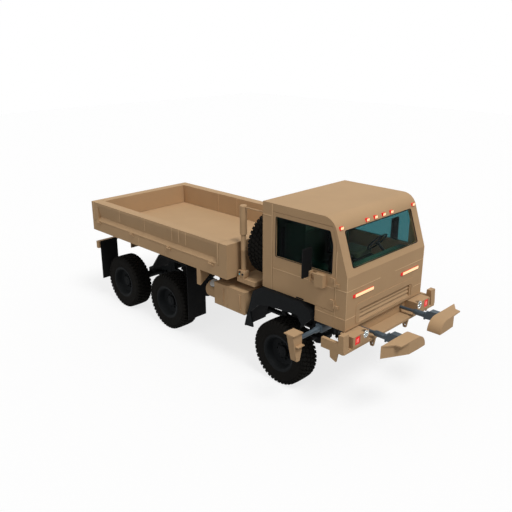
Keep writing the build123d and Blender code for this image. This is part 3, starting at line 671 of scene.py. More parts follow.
@dataclass(frozen=True)
class Finishes:
    """Every finish on the truck.

    A coat's numbers are, in order, its roughness, share of dust, tone_m, grain_mm, grain depth and gloss.
    """

    # Matt polyurethane body paint, sprayed: no gloss, slight orange peel, dust on its upper faces.
    sand: Finish = Coat("matt_sand_paint", Hue.SAND, Hue.SAND_DARK, Hue.DUST, 0.72)
    # The same paint on the seam beads along folded edges and welds, lighter as a painted highlight where
    # their edges catch the light, and a little smoother.
    edge: Finish = Coat("sand_seam_highlight", Hue.SAND_HIGHLIGHT, Hue.SAND, Hue.DUST, 0.6, 0.2)
    # Moulded tyre rubber: dull and dark, with grey dust worked into its tread.
    tyre: Finish = Coat(
        "tyre_rubber", Hue.TYRE, Hue.TYRE_DUST, Hue.TYRE_DUST, 0.85, 0.3, 0.25, 4.0, 0.2, 0.05
    )
    # Sheet rubber: black, faintly grained, almost without shine.
    flap: Finish = Coat(
        "black_flap_rubber", Hue.BLACK_PAINT, Hue.TYRE, Hue.TYRE_DUST, 0.75, 0.3, 0.4, 5.0, 0.12, 0.12
    )
    # Semi-matt black enamel on wheels and wings: a soft sheen along rounded edges.
    enamel: Finish = Coat(
        "black_enamel", Hue.BLACK_PAINT, Hue.CHASSIS, Hue.TYRE_DUST, 0.6, 0.2, 0.3, 3.0, 0.05, 0.08
    )
    # Anti-rust chassis paint brushed on rolled steel and castings: lumpy and near-black.
    chassis: Finish = Coat(
        "chassis_black_paint", Hue.CHASSIS, Hue.BLACK_PAINT, Hue.TYRE_DUST, 0.62, 0.2, 0.3, 8.0, 0.2, 0.1
    )
    # Raw sand-cast iron of the engine: coarse grain that breaks up its shine.
    iron: Finish = Coat("sand_cast_iron", Hue.IRON, Hue.CHASSIS, Hue.TYRE_DUST, 0.75, 0.2, 0.2, 5.0, 0.4, 0.3)
    # Slate-blue enamel on turned arms: smoother than the body paint, so it takes a soft highlight.
    slate: Finish = Coat(
        "slate_enamel", Hue.SLATE, Hue.SLATE_EDGE, Hue.SLATE_EDGE, 0.45, 0.3, 0.2, 3.0, 0.03, 0.35
    )
    # Toughened windscreen glass: almost clear, with a cool cast in its depth.
    glass: Finish = Pane("clear_toughened_glass", Hue.GLASS)
    # Door glass dyed dark blue-green through its thickness, so that the far side shows only dimly.
    dark_glass: Finish = Pane("dark_door_glass", Hue.DARK_GLASS)
    # Clear pressed lens of a headlight.
    lens: Finish = Pane("clear_pressed_lens", Hue.LENS)
    # Chromium plate on the headlights' bowls: a near-mirror.
    chrome: Finish = Bright("chrome_plate", Hue.CHROME, 0.08)
    # Red acrylic lens lit from behind.
    red_lens: Finish = Glow("lit_red_lens", Hue.RED, Hue.RED_GLOW, 0.55)
    # The bulb's glow through the middle of a lens, burnt out to cream.
    lamp_core: Finish = Glow("lamp_core", Hue.LAMP_CORE, Hue.LAMP_CORE, 0.6)
    # The weaker glow in the middle of a turn lamp.
    signal_core: Finish = Glow("signal_core", Hue.SIGNAL_CORE, Hue.SIGNAL_CORE, 0.3)
    # Grey felt under the cab's roof: fibrous, without shine.
    headliner: Finish = Coat(
        "grey_headliner_felt", Hue.HEADLINER, Hue.SAND_DARK, Hue.HEADLINER, 0.9, 0.0, 0.2, 2.0, 0.2, 0.05
    )
    # Grained dashboard moulding, dark green.
    dash: Finish = Coat("moulded_dash_plastic", Hue.DASH, Hue.PAN, Hue.DASH, 0.6, 0.1, 0.3, 2.0, 0.15, 0.3)
    # Black enamel on the seats' pans and the steering wheel.
    pan: Finish = Coat("black_seat_pan", Hue.PAN, Hue.BLACK_PAINT, Hue.PAN, 0.55, 0.1, 0.3, 3.0, 0.1, 0.3)
    # White moulded cap on the filler pipe, scuffed.
    cap: Finish = Coat("white_filler_cap", Hue.CAP, Hue.CHROME, Hue.CAP, 0.5)
    # Silvered mirror glass: sharper than the chrome.
    mirror: Finish = Bright("silvered_mirror", Hue.CHROME, 0.02)
    # Blue-green sight glass of a small gauge, glowing though it holds no lamp: a painted glow.
    gauge: Finish = Glow("sight_glass_painted_glow", Hue.GAUGE, Hue.GAUGE, 0.4)
    # Olive canvas over the seats' padding.
    cloth: Finish = Cloth("olive_seat_canvas", Hue.SEAT, Hue.SEAT_PIPING)


@dataclass(frozen=True)
class Dresser:
    """Gives each CAD node that shows its own finish."""

    finishes: Finishes

    def dress(self) -> None:
        """Put a finish on every CAD node by its material slot, or by its name where one is listed."""
        looks = self.finishes
        by_slot = {
            "chassis_paint": looks.chassis,
            "cast_iron": looks.iron,
            "tan_paint": looks.sand,
            "black_paint": looks.enamel,
            "slate_paint": looks.slate,
            "tyre_rubber": looks.tyre,
            "flap_rubber": looks.flap,
            "window_glass": looks.glass,
            "mirror_shell": looks.flap,
            "lamp_chrome": looks.chrome,
            "lamp_red": looks.red_lens,
            "dash_plastic": looks.dash,
            "seat_metal": looks.pan,
            "seat_cloth": looks.cloth,
        }
        by_node = {"spare_carrier": looks.sand, "glass_l": looks.dark_glass, "glass_r": looks.dark_glass}
        for entry in frame["record"]["subparts"]:
            finish = by_node.get(entry["node"], by_slot[entry["material_slot"]])
            worn = frame["nodes"][entry["node"]].data.materials
            worn.clear()
            worn.append(finish.make())


# ---------------------------------------------------------------- pieces
@dataclass(frozen=True)
class Datum:
    """Middle of the front axle on the centre plane, at the ground, from the CAD boxes."""

    x: float
    y: float

    def at(self, x: float, y: float, z: float) -> Point:
        """Place given from the datum, in the part's frame."""
        return (x + self.x, y + self.y, z)


def find_datum() -> Datum:
    """Read the datum from the front tyres' boxes.

    Returns:
        The datum.
    """
    low_r, high_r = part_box("tyre_front_r")
    _, high_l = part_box("tyre_front_l")
    return Datum((low_r.x + high_r.x) / 2, (low_r.y + high_l.y) / 2)


def build(name: str, shape: Shape, finish: Finish, body: str, smooth: float = 40) -> bpy.types.Object:
    """Make one object from a shape, with outward faces, its finish and the body it rides on.

    Args:
        name: the piece's name.
        shape: its surface in the part's frame.
        finish: the finish it wears.
        body: the CAD body it moves with.
        smooth: largest angle in degrees that is shaded smooth.

    Returns:
        The finished object.
    """
    mesh = bpy.data.meshes.new(name)
    mesh.from_pydata(shape.points.tolist(), [], shape.faces)
    work = bmesh.new()
    work.from_mesh(mesh)
    bmesh.ops.remove_doubles(work, verts=work.verts, dist=1e-6)
    bmesh.ops.recalc_face_normals(work, faces=work.faces)
    work.to_mesh(mesh)
    work.free()
    mesh.shade_smooth()
    mesh.set_sharp_from_angle(angle=radians(smooth))
    mesh.materials.append(finish.make())
    piece = bpy.data.objects.new(name, mesh)
    bpy.context.scene.collection.objects.link(piece)
    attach(piece, body)
    log.info("%s rides on %s", name, body)
    return piece


@dataclass
class Group:
    """Pieces that are given from the datum, in the truck's finishes."""

    datum: Datum
    finishes: Finishes

    def piece(
        self, name: str, shape: Shape, finish: Finish, body: str = "chassis", smooth: float = 40
    ) -> bpy.types.Object:
        """Build a piece from a shape that is given from the datum."""
        return build(name, shape.moved(self.datum.at(0.0, 0.0, 0.0)), finish, body, smooth)


# ---------------------------------------------------------------- wheels
@dataclass
class Wheel:
    """One tyre with block tread and its disc wheel, about its axle's middle.

    Radii and offsets along the axle are in metres, and outboard is positive.
    """

    name: str
    tyre_node: str
    rim_node: str
    body: str
    outboard: Point
    finishes: Finishes
    blocks: int = 44
    tread_radius: float = 0.564
    carcass_radius: float = 0.545
    skew: float = 0.22  # turn of a block from its inner to its outer edge, as a share of the pitch
    tyre_sides: int = 96
    rim_sides: int = 64

    def __post_init__(self) -> None:
        """Find the wheel's middle from its CAD tyre, and the directions square to its axle."""
        low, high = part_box(self.tyre_node)
        self.centre = np.array((low + high) / 2)
        self.axis = np.array(self.outboard, float)
        self.first, self.second = basis(self.axis)

    def swept(self, offsets: np.ndarray, radii: np.ndarray, angles: np.ndarray) -> np.ndarray:
        """Points at these offsets along the axle, radii and angles.

        Args:
            offsets: distances outboard.
            radii: distances from the axle.
            angles: turns about the axle.

        Returns:
            The points in the part's frame.
        """
        offsets, radii, angles = np.broadcast_arrays(offsets, radii, angles)
        spoke = np.cos(angles)[..., None] * self.first + np.sin(angles)[..., None] * self.second
        return self.centre + offsets[..., None] * self.axis + radii[..., None] * spoke

    def revolved(self, profile: np.ndarray, sides: int) -> Shape:
        """Closed ring: a closed profile of (offset, radius) pairs turned about the axle."""
        angles = np.linspace(0, 2 * pi, sides, endpoint=False)[:, None]
        return skin(self.swept(profile[:, 0], profile[:, 1], angles), along=True)

    def carcass(self) -> Shape:
        """Tyre without its blocks: side walls that bulge as a smooth curve, with two raised rings each.

        Returns:
            The closed ring.
        """
        wall = [
            (0.150, 0.3005), (0.168, 0.306), (0.171, 0.332), (0.1755, 0.350), (0.1745, 0.362),
            (0.1785, 0.366), (0.1790, 0.374), (0.1775, 0.380), (0.1815, 0.405), (0.1825, 0.440),
            (0.1795, 0.470), (0.1810, 0.474), (0.1805, 0.482), (0.1765, 0.487), (0.1715, 0.505),
            (0.1610, 0.524), (0.1440, 0.5365), (0.1200, 0.5415), (0.0700, 0.5445),
            (0.0200, self.carcass_radius),
        ]
        outer = np.array(wall)
        inner = outer * np.array([-1.0, 1.0])
        return self.revolved(np.concatenate([outer, inner[::-1]]), self.tyre_sides)

    def tread(self) -> Shape:
        """Staggered blocks in four rows: six-sided lumps, narrower at the top and skewed across the tread.

        Returns:
            All the blocks.
        """
        pitch, top = 2 * pi / self.blocks, self.tread_radius
        # Each row: offset of its inner and outer edge at the foot and at the top, foot and top radii, stagger
        rows = (
            (0.088, 0.1790, 0.092, 0.160, 0.538, 0.497, 0.5632, 0.5590, 0.0),
            (0.006, 0.082, 0.010, 0.078, 0.541, 0.540, top, top, 0.5),
            (-0.082, -0.006, -0.078, -0.010, 0.540, 0.541, top, top, 0.0),
            (-0.1790, -0.088, -0.160, -0.092, 0.497, 0.538, 0.5590, 0.5632, 0.5),
        )
        # Corners of a block in turn: half its length at the foot and the top, and which edge leads
        share = np.array([-0.36, -0.36, 0.36, 0.36, -0.31, -0.31, 0.31, 0.31]) * pitch
        lean = np.array([-1, 1, 1, -1, -1, 1, 1, -1]) * (self.skew * pitch) / 2
        block = np.array([[3, 2, 1, 0], [4, 5, 6, 7], [0, 1, 5, 4], [1, 2, 6, 5], [2, 3, 7, 6], [3, 0, 4, 7]])
        faces = (block[None] + 8 * np.arange(self.blocks)[:, None, None]).reshape(-1, 4).tolist()
        middles = np.arange(self.blocks) * pitch
        shapes = []
        for foot_a, foot_b, top_a, top_b, foot_ra, foot_rb, top_ra, top_rb, stagger in rows:
            offsets = np.array([foot_a, foot_b, foot_b, foot_a, top_a, top_b, top_b, top_a])
            radii = np.array([foot_ra, foot_rb, foot_rb, foot_ra, top_ra, top_rb, top_rb, top_ra])
            angles = middles[:, None] + stagger * pitch + share + lean
            shapes.append(Shape(self.swept(offsets, radii, angles).reshape(-1, 3), faces))
        return joined(shapes)

    def disc(self) -> Shape:
        """Wheel: flanged barrel, dished disc and stepped hub, as one turned profile.

        Returns:
            The closed ring.
        """
        profile = [
            (0.0975, 0.004), (0.0975, 0.040), (0.0900, 0.048), (0.0880, 0.092), (0.0780, 0.102),
            (0.0320, 0.105), (0.0300, 0.124), (0.0340, 0.160), (0.0360, 0.205), (0.0520, 0.236),
            (0.1000, 0.262), (0.1500, 0.276), (0.1640, 0.286), (0.1740, 0.300), (0.1765, 0.322),
            (0.1740, 0.3295), (0.1655, 0.3295), (0.1645, 0.3000), (-0.1645, 0.3000), (-0.1655, 0.3295),
            (-0.1755, 0.3290), (-0.1740, 0.292), (-0.1500, 0.282), (-0.0300, 0.270), (-0.0040, 0.235),
            (-0.0040, 0.120), (-0.0580, 0.117), (-0.0595, 0.073), (-0.0130, 0.072), (-0.0120, 0.004),
        ]
        return self.revolved(np.array(profile), self.rim_sides)

    def studs(self) -> Shape:
        """Ring of ten wheel nuts on the disc and eight cap screws on the hub.

        Returns:
            All the heads.
        """
        shapes = []
        # Each row: how many, radius of their circle, offsets of foot and tip, their own radius
        rows = ((10, 0.1425, 0.030, 0.056, 0.017), (8, 0.070, 0.086, 0.0955, 0.009))
        for count, ring, start, end, radius in rows:
            head = [(0, radius), (0.8, radius), (1, 0.75 * radius)]
            for turn in np.arange(count) * 2 * pi / count:
                foot, tip = self.swept(np.array([start, end]), np.array(ring), np.array(turn))
                shapes.append(turned(tuple(foot), tuple(tip), head, sides=6))
        return joined(shapes)

    def make(self) -> None:
        """Build the tyre and the wheel in place of their CAD nodes."""
        rubber, metal = self.carcass().plus(self.tread()), self.disc().plus(self.studs())
        tyre = build(f"{self.name}_tyre", rubber, self.finishes.tyre, self.body, smooth=32)
        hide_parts(self.tyre_node)
        rim = build(f"{self.name}_wheel", metal, self.finishes.enamel, self.body, smooth=30)
        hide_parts(self.rim_node)


def make_wheels(finishes: Finishes) -> None:
    """Build the six road wheels and the spare.

    Args:
        finishes: the truck's finishes.
    """
    for axle in ("front", "middle", "rear"):
        for side, tag in SIDES:
            name = f"{axle}_{tag}"
            Wheel(name, f"tyre_{name}", f"rim_{name}", f"wheel_{name}", (0, side, 0), finishes).make()
    Wheel("spare", "spare_tyre", "spare_rim", "chassis", (1, 0, 0), finishes).make()


# ---------------------------------------------------------------- cab
@dataclass
class CabTrim(Group):
    """Seams, gaskets, mirror faces and pulls on the cab's shell and doors."""

    half_width: float = 1.064
    front: float = 1.287
    roof: float = 3.096
    belt: float = 2.240
    brow: float = 0.996
    rear: float = -0.428
    seam: float = 0.011
    proud: float = 0.004

    def flank(self, side: int, out: float) -> float:
        """Side position that stands a little out of the cab's flank."""
        return side * (self.half_width + out)

    def side_strip(self, side: int, start: Pair, end: Pair) -> Shape:
        """Thin bead on the cab's flank between two (x, z) points that share x or z.

        Args:
            side: -1 for the right, 1 for the left.
            start: its rear or lower end.
            end: its other end.

        Returns:
            The bead.
        """
        half = self.seam / 2
        low = (start[0] - half, self.flank(side, -SUNK), start[1] - half)
        high = (end[0] + half, self.flank(side, self.proud), end[1] + half)
        return bar(low, high, "x" if end[0] > start[0] else "z", SEAM_EDGE)

    def front_strip(self, side: int, across: Pair, up: Pair) -> Shape:
        """Thin bead on one side of the cab's flat front.

        Args:
            side: -1 for the right, 1 for the left.
            across: its reach from the centre plane.
            up: its reach in height.

        Returns:
            The bead.
        """
        low = (self.front - SUNK, side * across[0], up[0])
        high = (self.front + self.proud, side * across[1], up[1])
        return bar(low, high, "y" if across[1] - across[0] > up[1] - up[0] else "z", SEAM_EDGE)

    def shell_seams(self) -> Shape:
        """Beads round the flank panels and across the front.

        Returns:
            All the beads.
        """
        flanks = (
            ((-0.222, 1.66), (-0.222, 3.08)),
            ((1.080, 1.40), (1.080, 2.60)),
            ((-0.425, 2.885), (-0.24, 2.885)),
            ((0.705, 1.575), (1.07, 1.575)),
            ((1.09, 2.022), (1.283, 2.022)),
            ((1.09, 1.575), (1.283, 1.575)),
        )
        fronts = (
            ((0.80, 1.060), (1.570, 1.579)),
            ((0.20, 1.060), (2.015, 2.024)),
            ((1.056, 1.0645), (1.40, 2.24)),
        )
        strips = []
        for side, _ in SIDES:
            strips += [self.side_strip(side, *ends) for ends in flanks]
            strips += [self.front_strip(side, *reach) for reach in fronts]
        return joined(strips)

    def door_seams(self, side: int) -> Shape:
        """Bead along the door below its window."""
        return self.side_strip(side, (-0.195, 2.022), (1.045, 2.022))

    def handle(self, side: int) -> Shape:
        """Black pull in its slot low on the door."""
        low, high = (0.315, self.flank(side, -0.004), 1.652), (0.470, self.flank(side, 0.010), 1.674)
        return bar(low, high, "x", 0.006)

    def windscreen_gasket(self) -> Shape:
        """Rubber bead round the windscreen, in the slope from the belt up to the brow.

        Returns:
            The bead.
        """
        slope = np.array([self.brow - self.front, 0.0, self.roof - self.belt])
        slope /= np.linalg.norm(slope)
        outline = rectangle(0.885, 0.115, 0.674, 0.03)
        foot = np.array([self.front, 0.0, self.belt])
        path = foot + outline[:, :1] * np.array([0.0, 1.0, 0.0]) + outline[:, 1:] * slope
        return bead(path, (slope[2], 0.0, -slope[0]), 0.008)

    def rear_gasket(self) -> Shape:
        """Rubber bead round the rear window."""
        outline = rectangle(0.350, 2.350, 2.750, 0.02)
        return bead(np.insert(outline, 0, self.rear, axis=1), (1, 0, 0), 0.007)

    def door_gasket(self, side: int) -> Shape:
        """Rubber bead round a door's window, with its cut front corner.

        Args:
            side: -1 for the right, 1 for the left.

        Returns:
            The bead.
        """
        corners = [(-0.140, 2.235), (1.000, 2.235), (1.000, 2.690), (0.940, 2.890), (-0.140, 2.890)]
        path = np.insert(softened(corners, 0.02), 1, self.flank(side, 0.0), axis=1)
        return bead(path, (0, 1, 0), 0.006)

    def grille_surround(self) -> Shape:
        """Raised band round the grille: two rounded outlines, each on the face and again proud of it.

        Returns:
            The closed band.
        """
        outer, inner = rectangle(0.812, 1.420, 1.760, 0.075), rectangle(0.745, 1.437, 1.656, 0.030)
        steps = ((outer, -SUNK), (outer, 0.006), (inner, 0.006), (inner, -SUNK))
        rings = [np.insert(outline, 0, self.front + reach, axis=1) for outline, reach in steps]
        return skin(np.array(rings), along=True)

    def mirror_face(self, side: int) -> Shape:
        """Silvered face on the rearward side of a door mirror."""
        return bar((0.5965, side * 1.093, 2.128), (0.6005, side * 1.282, 2.567), "z", 0.001)

    def make(self) -> None:
        """Build the trim."""
        looks = self.finishes
        # the seam beads are painted lighter, a painted highlight of their lit edges
        self.piece("cab_seams", self.shell_seams(), looks.edge)
        self.piece("cab_gaskets", self.windscreen_gasket().plus(self.rear_gasket()), looks.flap)
        self.piece("grille_surround", self.grille_surround(), looks.sand, smooth=50)
        for side, tag in SIDES:
            door = f"door_{tag}"
            self.piece(f"window_gasket_{tag}", self.door_gasket(side), looks.flap, door)
            self.piece(f"mirror_face_{tag}", self.mirror_face(side), looks.mirror, door)
            # the door seams carry the same painted highlight
            self.piece(f"door_seams_{tag}", self.door_seams(side), looks.edge, door)
            self.piece(f"door_pull_{tag}", self.handle(side), looks.flap, door)


@dataclass
class Lamps(Group):
    """Headlights with reflectors and lenses, and the lit red lamps."""

    headlight_y: float = 0.765
    headlight_z: float = 1.315
    front: float = 1.470
    ring_radius: float = 0.058
    roof_half: float = 0.033  # half the width of a roof lamp's face
    signal_half: float = 0.027
    tail_half: float = 0.045

    def headlight(self, side: int) -> tuple[Shape, Shape]:
        """Chrome bowl and its domed lens.

        Args:
            side: -1 for the right, 1 for the left.

        Returns:
            The bowl and the lens.
        """
        y, z = side * self.headlight_y, self.headlight_z
        bowl = [
            (0.0, 0.02), (0.02, 0.052), (0.85, 0.0555), (1.0, 0.056), (1.0, 0.049), (0.75, 0.047),
            (0.35, 0.034), (0.22, 0.008),
        ]
        lens = [(0.0, 0.0465), (0.3, 0.0465), (0.8, 0.034), (1.0, 0.008)]
        chrome = turned((1.402, y, z), (self.front - 0.006, y, z), bowl, sides=36)
        return chrome, turned((self.front - 0.022, y, z), (self.front - 0.004, y, z), lens, sides=36)

    def bright_cores(self) -> Shape:
        """Cream faces of the six roof lamps and the two marker bars, which stay red at their right ends.

        Returns:
            All the faces.
        """
        lamps, bars = (-0.965, -0.325, -0.110, 0.110, 0.325, 0.965), (-0.900, 0.390)
        half = self.roof_half
        faces = [bar((1.0775, y - half, 2.918), (1.0820, y + half, 2.957), "y") for y in lamps]
        faces += [bar((1.3005, y + 0.045, 1.887), (1.3050, y + 0.508, 1.935), "y") for y in bars]
        return joined(faces)

    def signal_cores(self) -> Shape:
        """Paler middles of the two lamps beside the headlights."""
        spans = [(side * 0.975 - self.signal_half, side * 0.975 + self.signal_half) for side, _ in SIDES]
        return joined([bar((1.4655, low, 1.248), (1.4690, high, 1.308), "y") for low, high in spans])

    def tail_lamps(self) -> Shape:
        """Three square red lenses on each box at the rear.

        Returns:
            All the lenses.
        """
        lenses = []
        for y in [side * out for side, _ in SIDES for out in (0.905, 1.045, 1.165)]:
            low, high = (-5.338, y - self.tail_half, 1.205), (-5.328, y + self.tail_half, 1.287)
            lenses.append(bar(low, high, "x", steps=3))
        return joined(lenses)

    def headlight_rims(self) -> Shape:
        """Plated ring round each headlight.

        Returns:
            Both rings.
        """
        turn = np.linspace(0, 2 * pi, 40, endpoint=False)
        circle = self.ring_radius * (np.outer(np.cos(turn), [0, 1, 0]) + np.outer(np.sin(turn), [0, 0, 1]))
        middles = [(self.front - 0.003, side * self.headlight_y, self.headlight_z) for side, _ in SIDES]
        return joined([bead(np.array(middle) + circle, (1, 0, 0), 0.006) for middle in middles])

    def make(self) -> None:
        """Build the headlights in place of their CAD node, and the lit faces."""
        looks = self.finishes
        pairs = [self.headlight(side) for side, _ in SIDES]
        bowls = self.piece("headlight_bowls", joined([p[0] for p in pairs]), looks.chrome)
        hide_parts("headlights")
        self.piece("headlight_lenses", joined([p[1] for p in pairs]), looks.lens)
        self.piece("headlight_rims", self.headlight_rims(), looks.chrome)
        self.piece("tail_lamps", self.tail_lamps(), looks.red_lens)
        self.piece("lamp_cores", self.bright_cores(), looks.lamp_core)
        self.piece("signal_cores", self.signal_cores(), looks.signal_core)


@dataclass
class CabInside(Group):
    """Headliner, rubber floor mat and the dashboard's dials."""

    half_width: float = 1.000
    rear: float = -0.372
    floor: float = 1.695
    ceiling: float = 3.040
    dash_x: float = 0.842
    dash_z: float = 2.105

    def headliner(self) -> Shape:
        """Felt sheet under the roof."""
        low = (self.rear, -self.half_width, self.ceiling - 0.012)
        return bar(low, (0.930, self.half_width, self.ceiling), "x", 0.005)

    def mat(self) -> Shape:
        """Floor mat with lengthwise ribs.

        Returns:
            The mat.
        """
        low = (self.rear, -self.half_width, self.floor)
        ribs = [bar(low, (0.840, self.half_width, self.floor + 0.006), "x", 0.002)]
        for y in np.linspace(-0.95, 0.95, 39):
            start = (self.rear + 0.02, y - 0.008, self.floor + 0.005)
            ribs.append(bar(start, (0.820, y + 0.008, self.floor + 0.010), "x", 0.002))
        return joined(ribs)

    def dials(self) -> Shape:
        """Three round dials before the driver and a row of switches on the dashboard.

        Returns:
            All of them.
        """
        x, z = self.dash_x, self.dash_z
        bezel = [(0, 0.045), (0.8, 0.045), (1, 0.038)]
        dials = [turned((x + 0.010, y, z), (x, y, z), bezel) for y in (0.480, 0.600, 0.720)]
        for y in np.linspace(-0.25, 0.25, 6):
            dials.append(bar((x, y - 0.016, z - 0.02), (x + 0.010, y + 0.016, z + 0.02), "y"))
        return joined(dials)

    def make(self) -> None:
        """Build the headliner, mat and dials."""
        self.piece("cab_headliner", self.headliner(), self.finishes.headliner)
        self.piece("cab_mat", self.mat(), self.finishes.flap)
        self.piece("dash_dials", self.dials(), self.finishes.pan)


@dataclass
class Cabin(Group):
    """Padded seats and the steering wheel."""

    seat_y: float = 0.600
    half_seat: float = 0.24
    inset: float = 0.014  # how far a pad starts inside its space
    corner: float = 0.035
    swelling: float = 0.010  # farthest a point may move
    ring_radius: float = 0.196
    grip_radius: float = 0.0125
    boss_radius: float = 0.03
    spoke_end: float = 0.190

    def pad(self, name: str, low: Point, high: Point) -> bpy.types.Object:
        """Stuffed pad: a rounded box that a cloth simulation swells inside its CAD solid.

        Args:
            name: the piece's name.
            low: lowest corner of its space.
            high: highest corner of its space.

        Returns:
            The padded piece.
        """
        lows, highs = np.array(self.datum.at(*low)), np.array(self.datum.at(*high))
        shape = bar(tuple(lows + self.inset), tuple(highs - self.inset), "z", self.corner, steps=4)
        piece = build(name, shape, self.finishes.cloth, "chassis", smooth=60)
        swell(piece, lows, highs, self.swelling)
        return piece

    def steering(self) -> Shape:
        """Steering wheel: a ring of round section with three spokes and a boss, leaning on its column.

        Returns:
            The wheel with its column.
        """
        hub, foot = np.array([0.655, self.seat_y, 2.278]), np.array([0.856, self.seat_y, 2.110])
        column = (foot - hub) / np.linalg.norm(foot - hub)
        first, second = basis(column)
        turn = np.linspace(0, 2 * pi, 48, endpoint=False)
        out = np.outer(np.cos(turn), first) + np.outer(np.sin(turn), second)
        section = np.linspace(0, 2 * pi, 10, endpoint=False)[:, None]
        grip = np.cos(section) * out[:, None] + np.sin(section) * column
        shapes = [skin(hub + self.ring_radius * out[:, None] + self.grip_radius * grip, along=True)]
        for angle in (pi / 2, pi * 7 / 6, pi * 11 / 6):
            direction = cos(angle) * first + sin(angle) * second
            inner, outer = hub + self.boss_radius * direction, hub + self.spoke_end * direction
            shapes.append(turned(tuple(inner), tuple(outer), [(0, 0.014), (1, 0.009)], sides=10))
        boss = [(0, 0.02), (0.15, 0.042), (0.7, 0.046), (1, 0.03)]
        shapes.append(turned(tuple(hub - 0.008 * column), tuple(hub + 0.030 * column), boss, sides=24))
        shapes.append(turned(tuple(hub), tuple(foot), [(0, 0.024), (1, 0.024)], sides=20))
        return joined(shapes)

    def make(self) -> None:
        """Build the seats' pads and the steering wheel."""
        for side, tag in SIDES:
            edges = (self.seat_y - self.half_seat, self.seat_y + self.half_seat)
            inner, outer = sorted(side * edge for edge in edges)
            cushion = self.pad(f"seat_cushion_{tag}", (-0.060, inner, 1.950), (0.450, outer, 2.080))
            back = self.pad(f"seat_back_{tag}", (-0.205, inner, 1.950), (-0.065, outer, 2.760))
            if side < 0:
                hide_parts("seat_cushions")
                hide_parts("seat_backs")
        wheel = self.piece("steering_ring", self.steering(), self.finishes.pan)
        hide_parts("steering_wheel")


FULL_VOXEL, QUICK_VOXEL = 0.006, 0.012
PRESSURE = 4.0  # of the pad's stuffing, in the simulation's own unit
FRAMES = 20  # length of the simulation
MARGIN = 0.001  # kept free inside a pad's space


def swell(piece: bpy.types.Object, low: np.ndarray, high: np.ndarray, most: float) -> None:
    """Blow a closed pad up like a stuffed cushion, then hold it inside its own space.

    Args:
        piece: the pad.
        low: lowest corner it may reach.
        high: highest corner it may reach.
        most: farthest any point may move.
    """
    bpy.context.view_layer.objects.active = piece
    remesh = piece.modifiers.new("even", "REMESH")
    remesh.mode = "VOXEL"
    remesh.voxel_size = FULL_VOXEL
    bpy.context.view_layer.update()
    settle(piece)
    start = points_of(piece.data)
    cloth = piece.modifiers.new("cloth", "CLOTH")
    cloth.settings.use_pressure = True
    cloth.settings.uniform_pressure_force = PRESSURE
    cloth.settings.effector_weights.gravity = 0.0
    scene = bpy.context.scene
    for step in range(1, FRAMES + 1):
        scene.frame_set(step)
    settle(piece)
    moved = points_of(piece.data) - start
    length = np.linalg.norm(moved, axis=1, keepdims=True)
    moved *= np.minimum(1.0, most / np.maximum(length, 1e-9))
    held = np.clip(start + moved, low + MARGIN, high - MARGIN)
    piece.data.vertices.foreach_set("co", held.astype(np.float32).ravel())
    piece.data.update()
    scene.frame_set(1)
    smooth = piece.modifiers.new("smooth", "SUBSURF")
    smooth.levels = smooth.render_levels = 1
    settle(piece)
    piece.data.shade_smooth()


def settle(piece: bpy.types.Object) -> None:
    """Replace the piece's mesh by what its modifiers make of it, and drop them.

    Args:
        piece: the piece with its modifiers.
    """
    graph = bpy.context.evaluated_depsgraph_get()
    mesh = bpy.data.meshes.new_from_object(piece.evaluated_get(graph))
    piece.modifiers.clear()
    piece.data = mesh


def points_of(mesh: bpy.types.Mesh) -> np.ndarray:
    """Read a mesh's points.

    Args:
        mesh: the mesh.

    Returns:
        Array of points by three.
    """
    flat = np.zeros(len(mesh.vertices) * 3, np.float32)
    mesh.vertices.foreach_get("co", flat)
    return flat.reshape(-1, 3).astype(float)


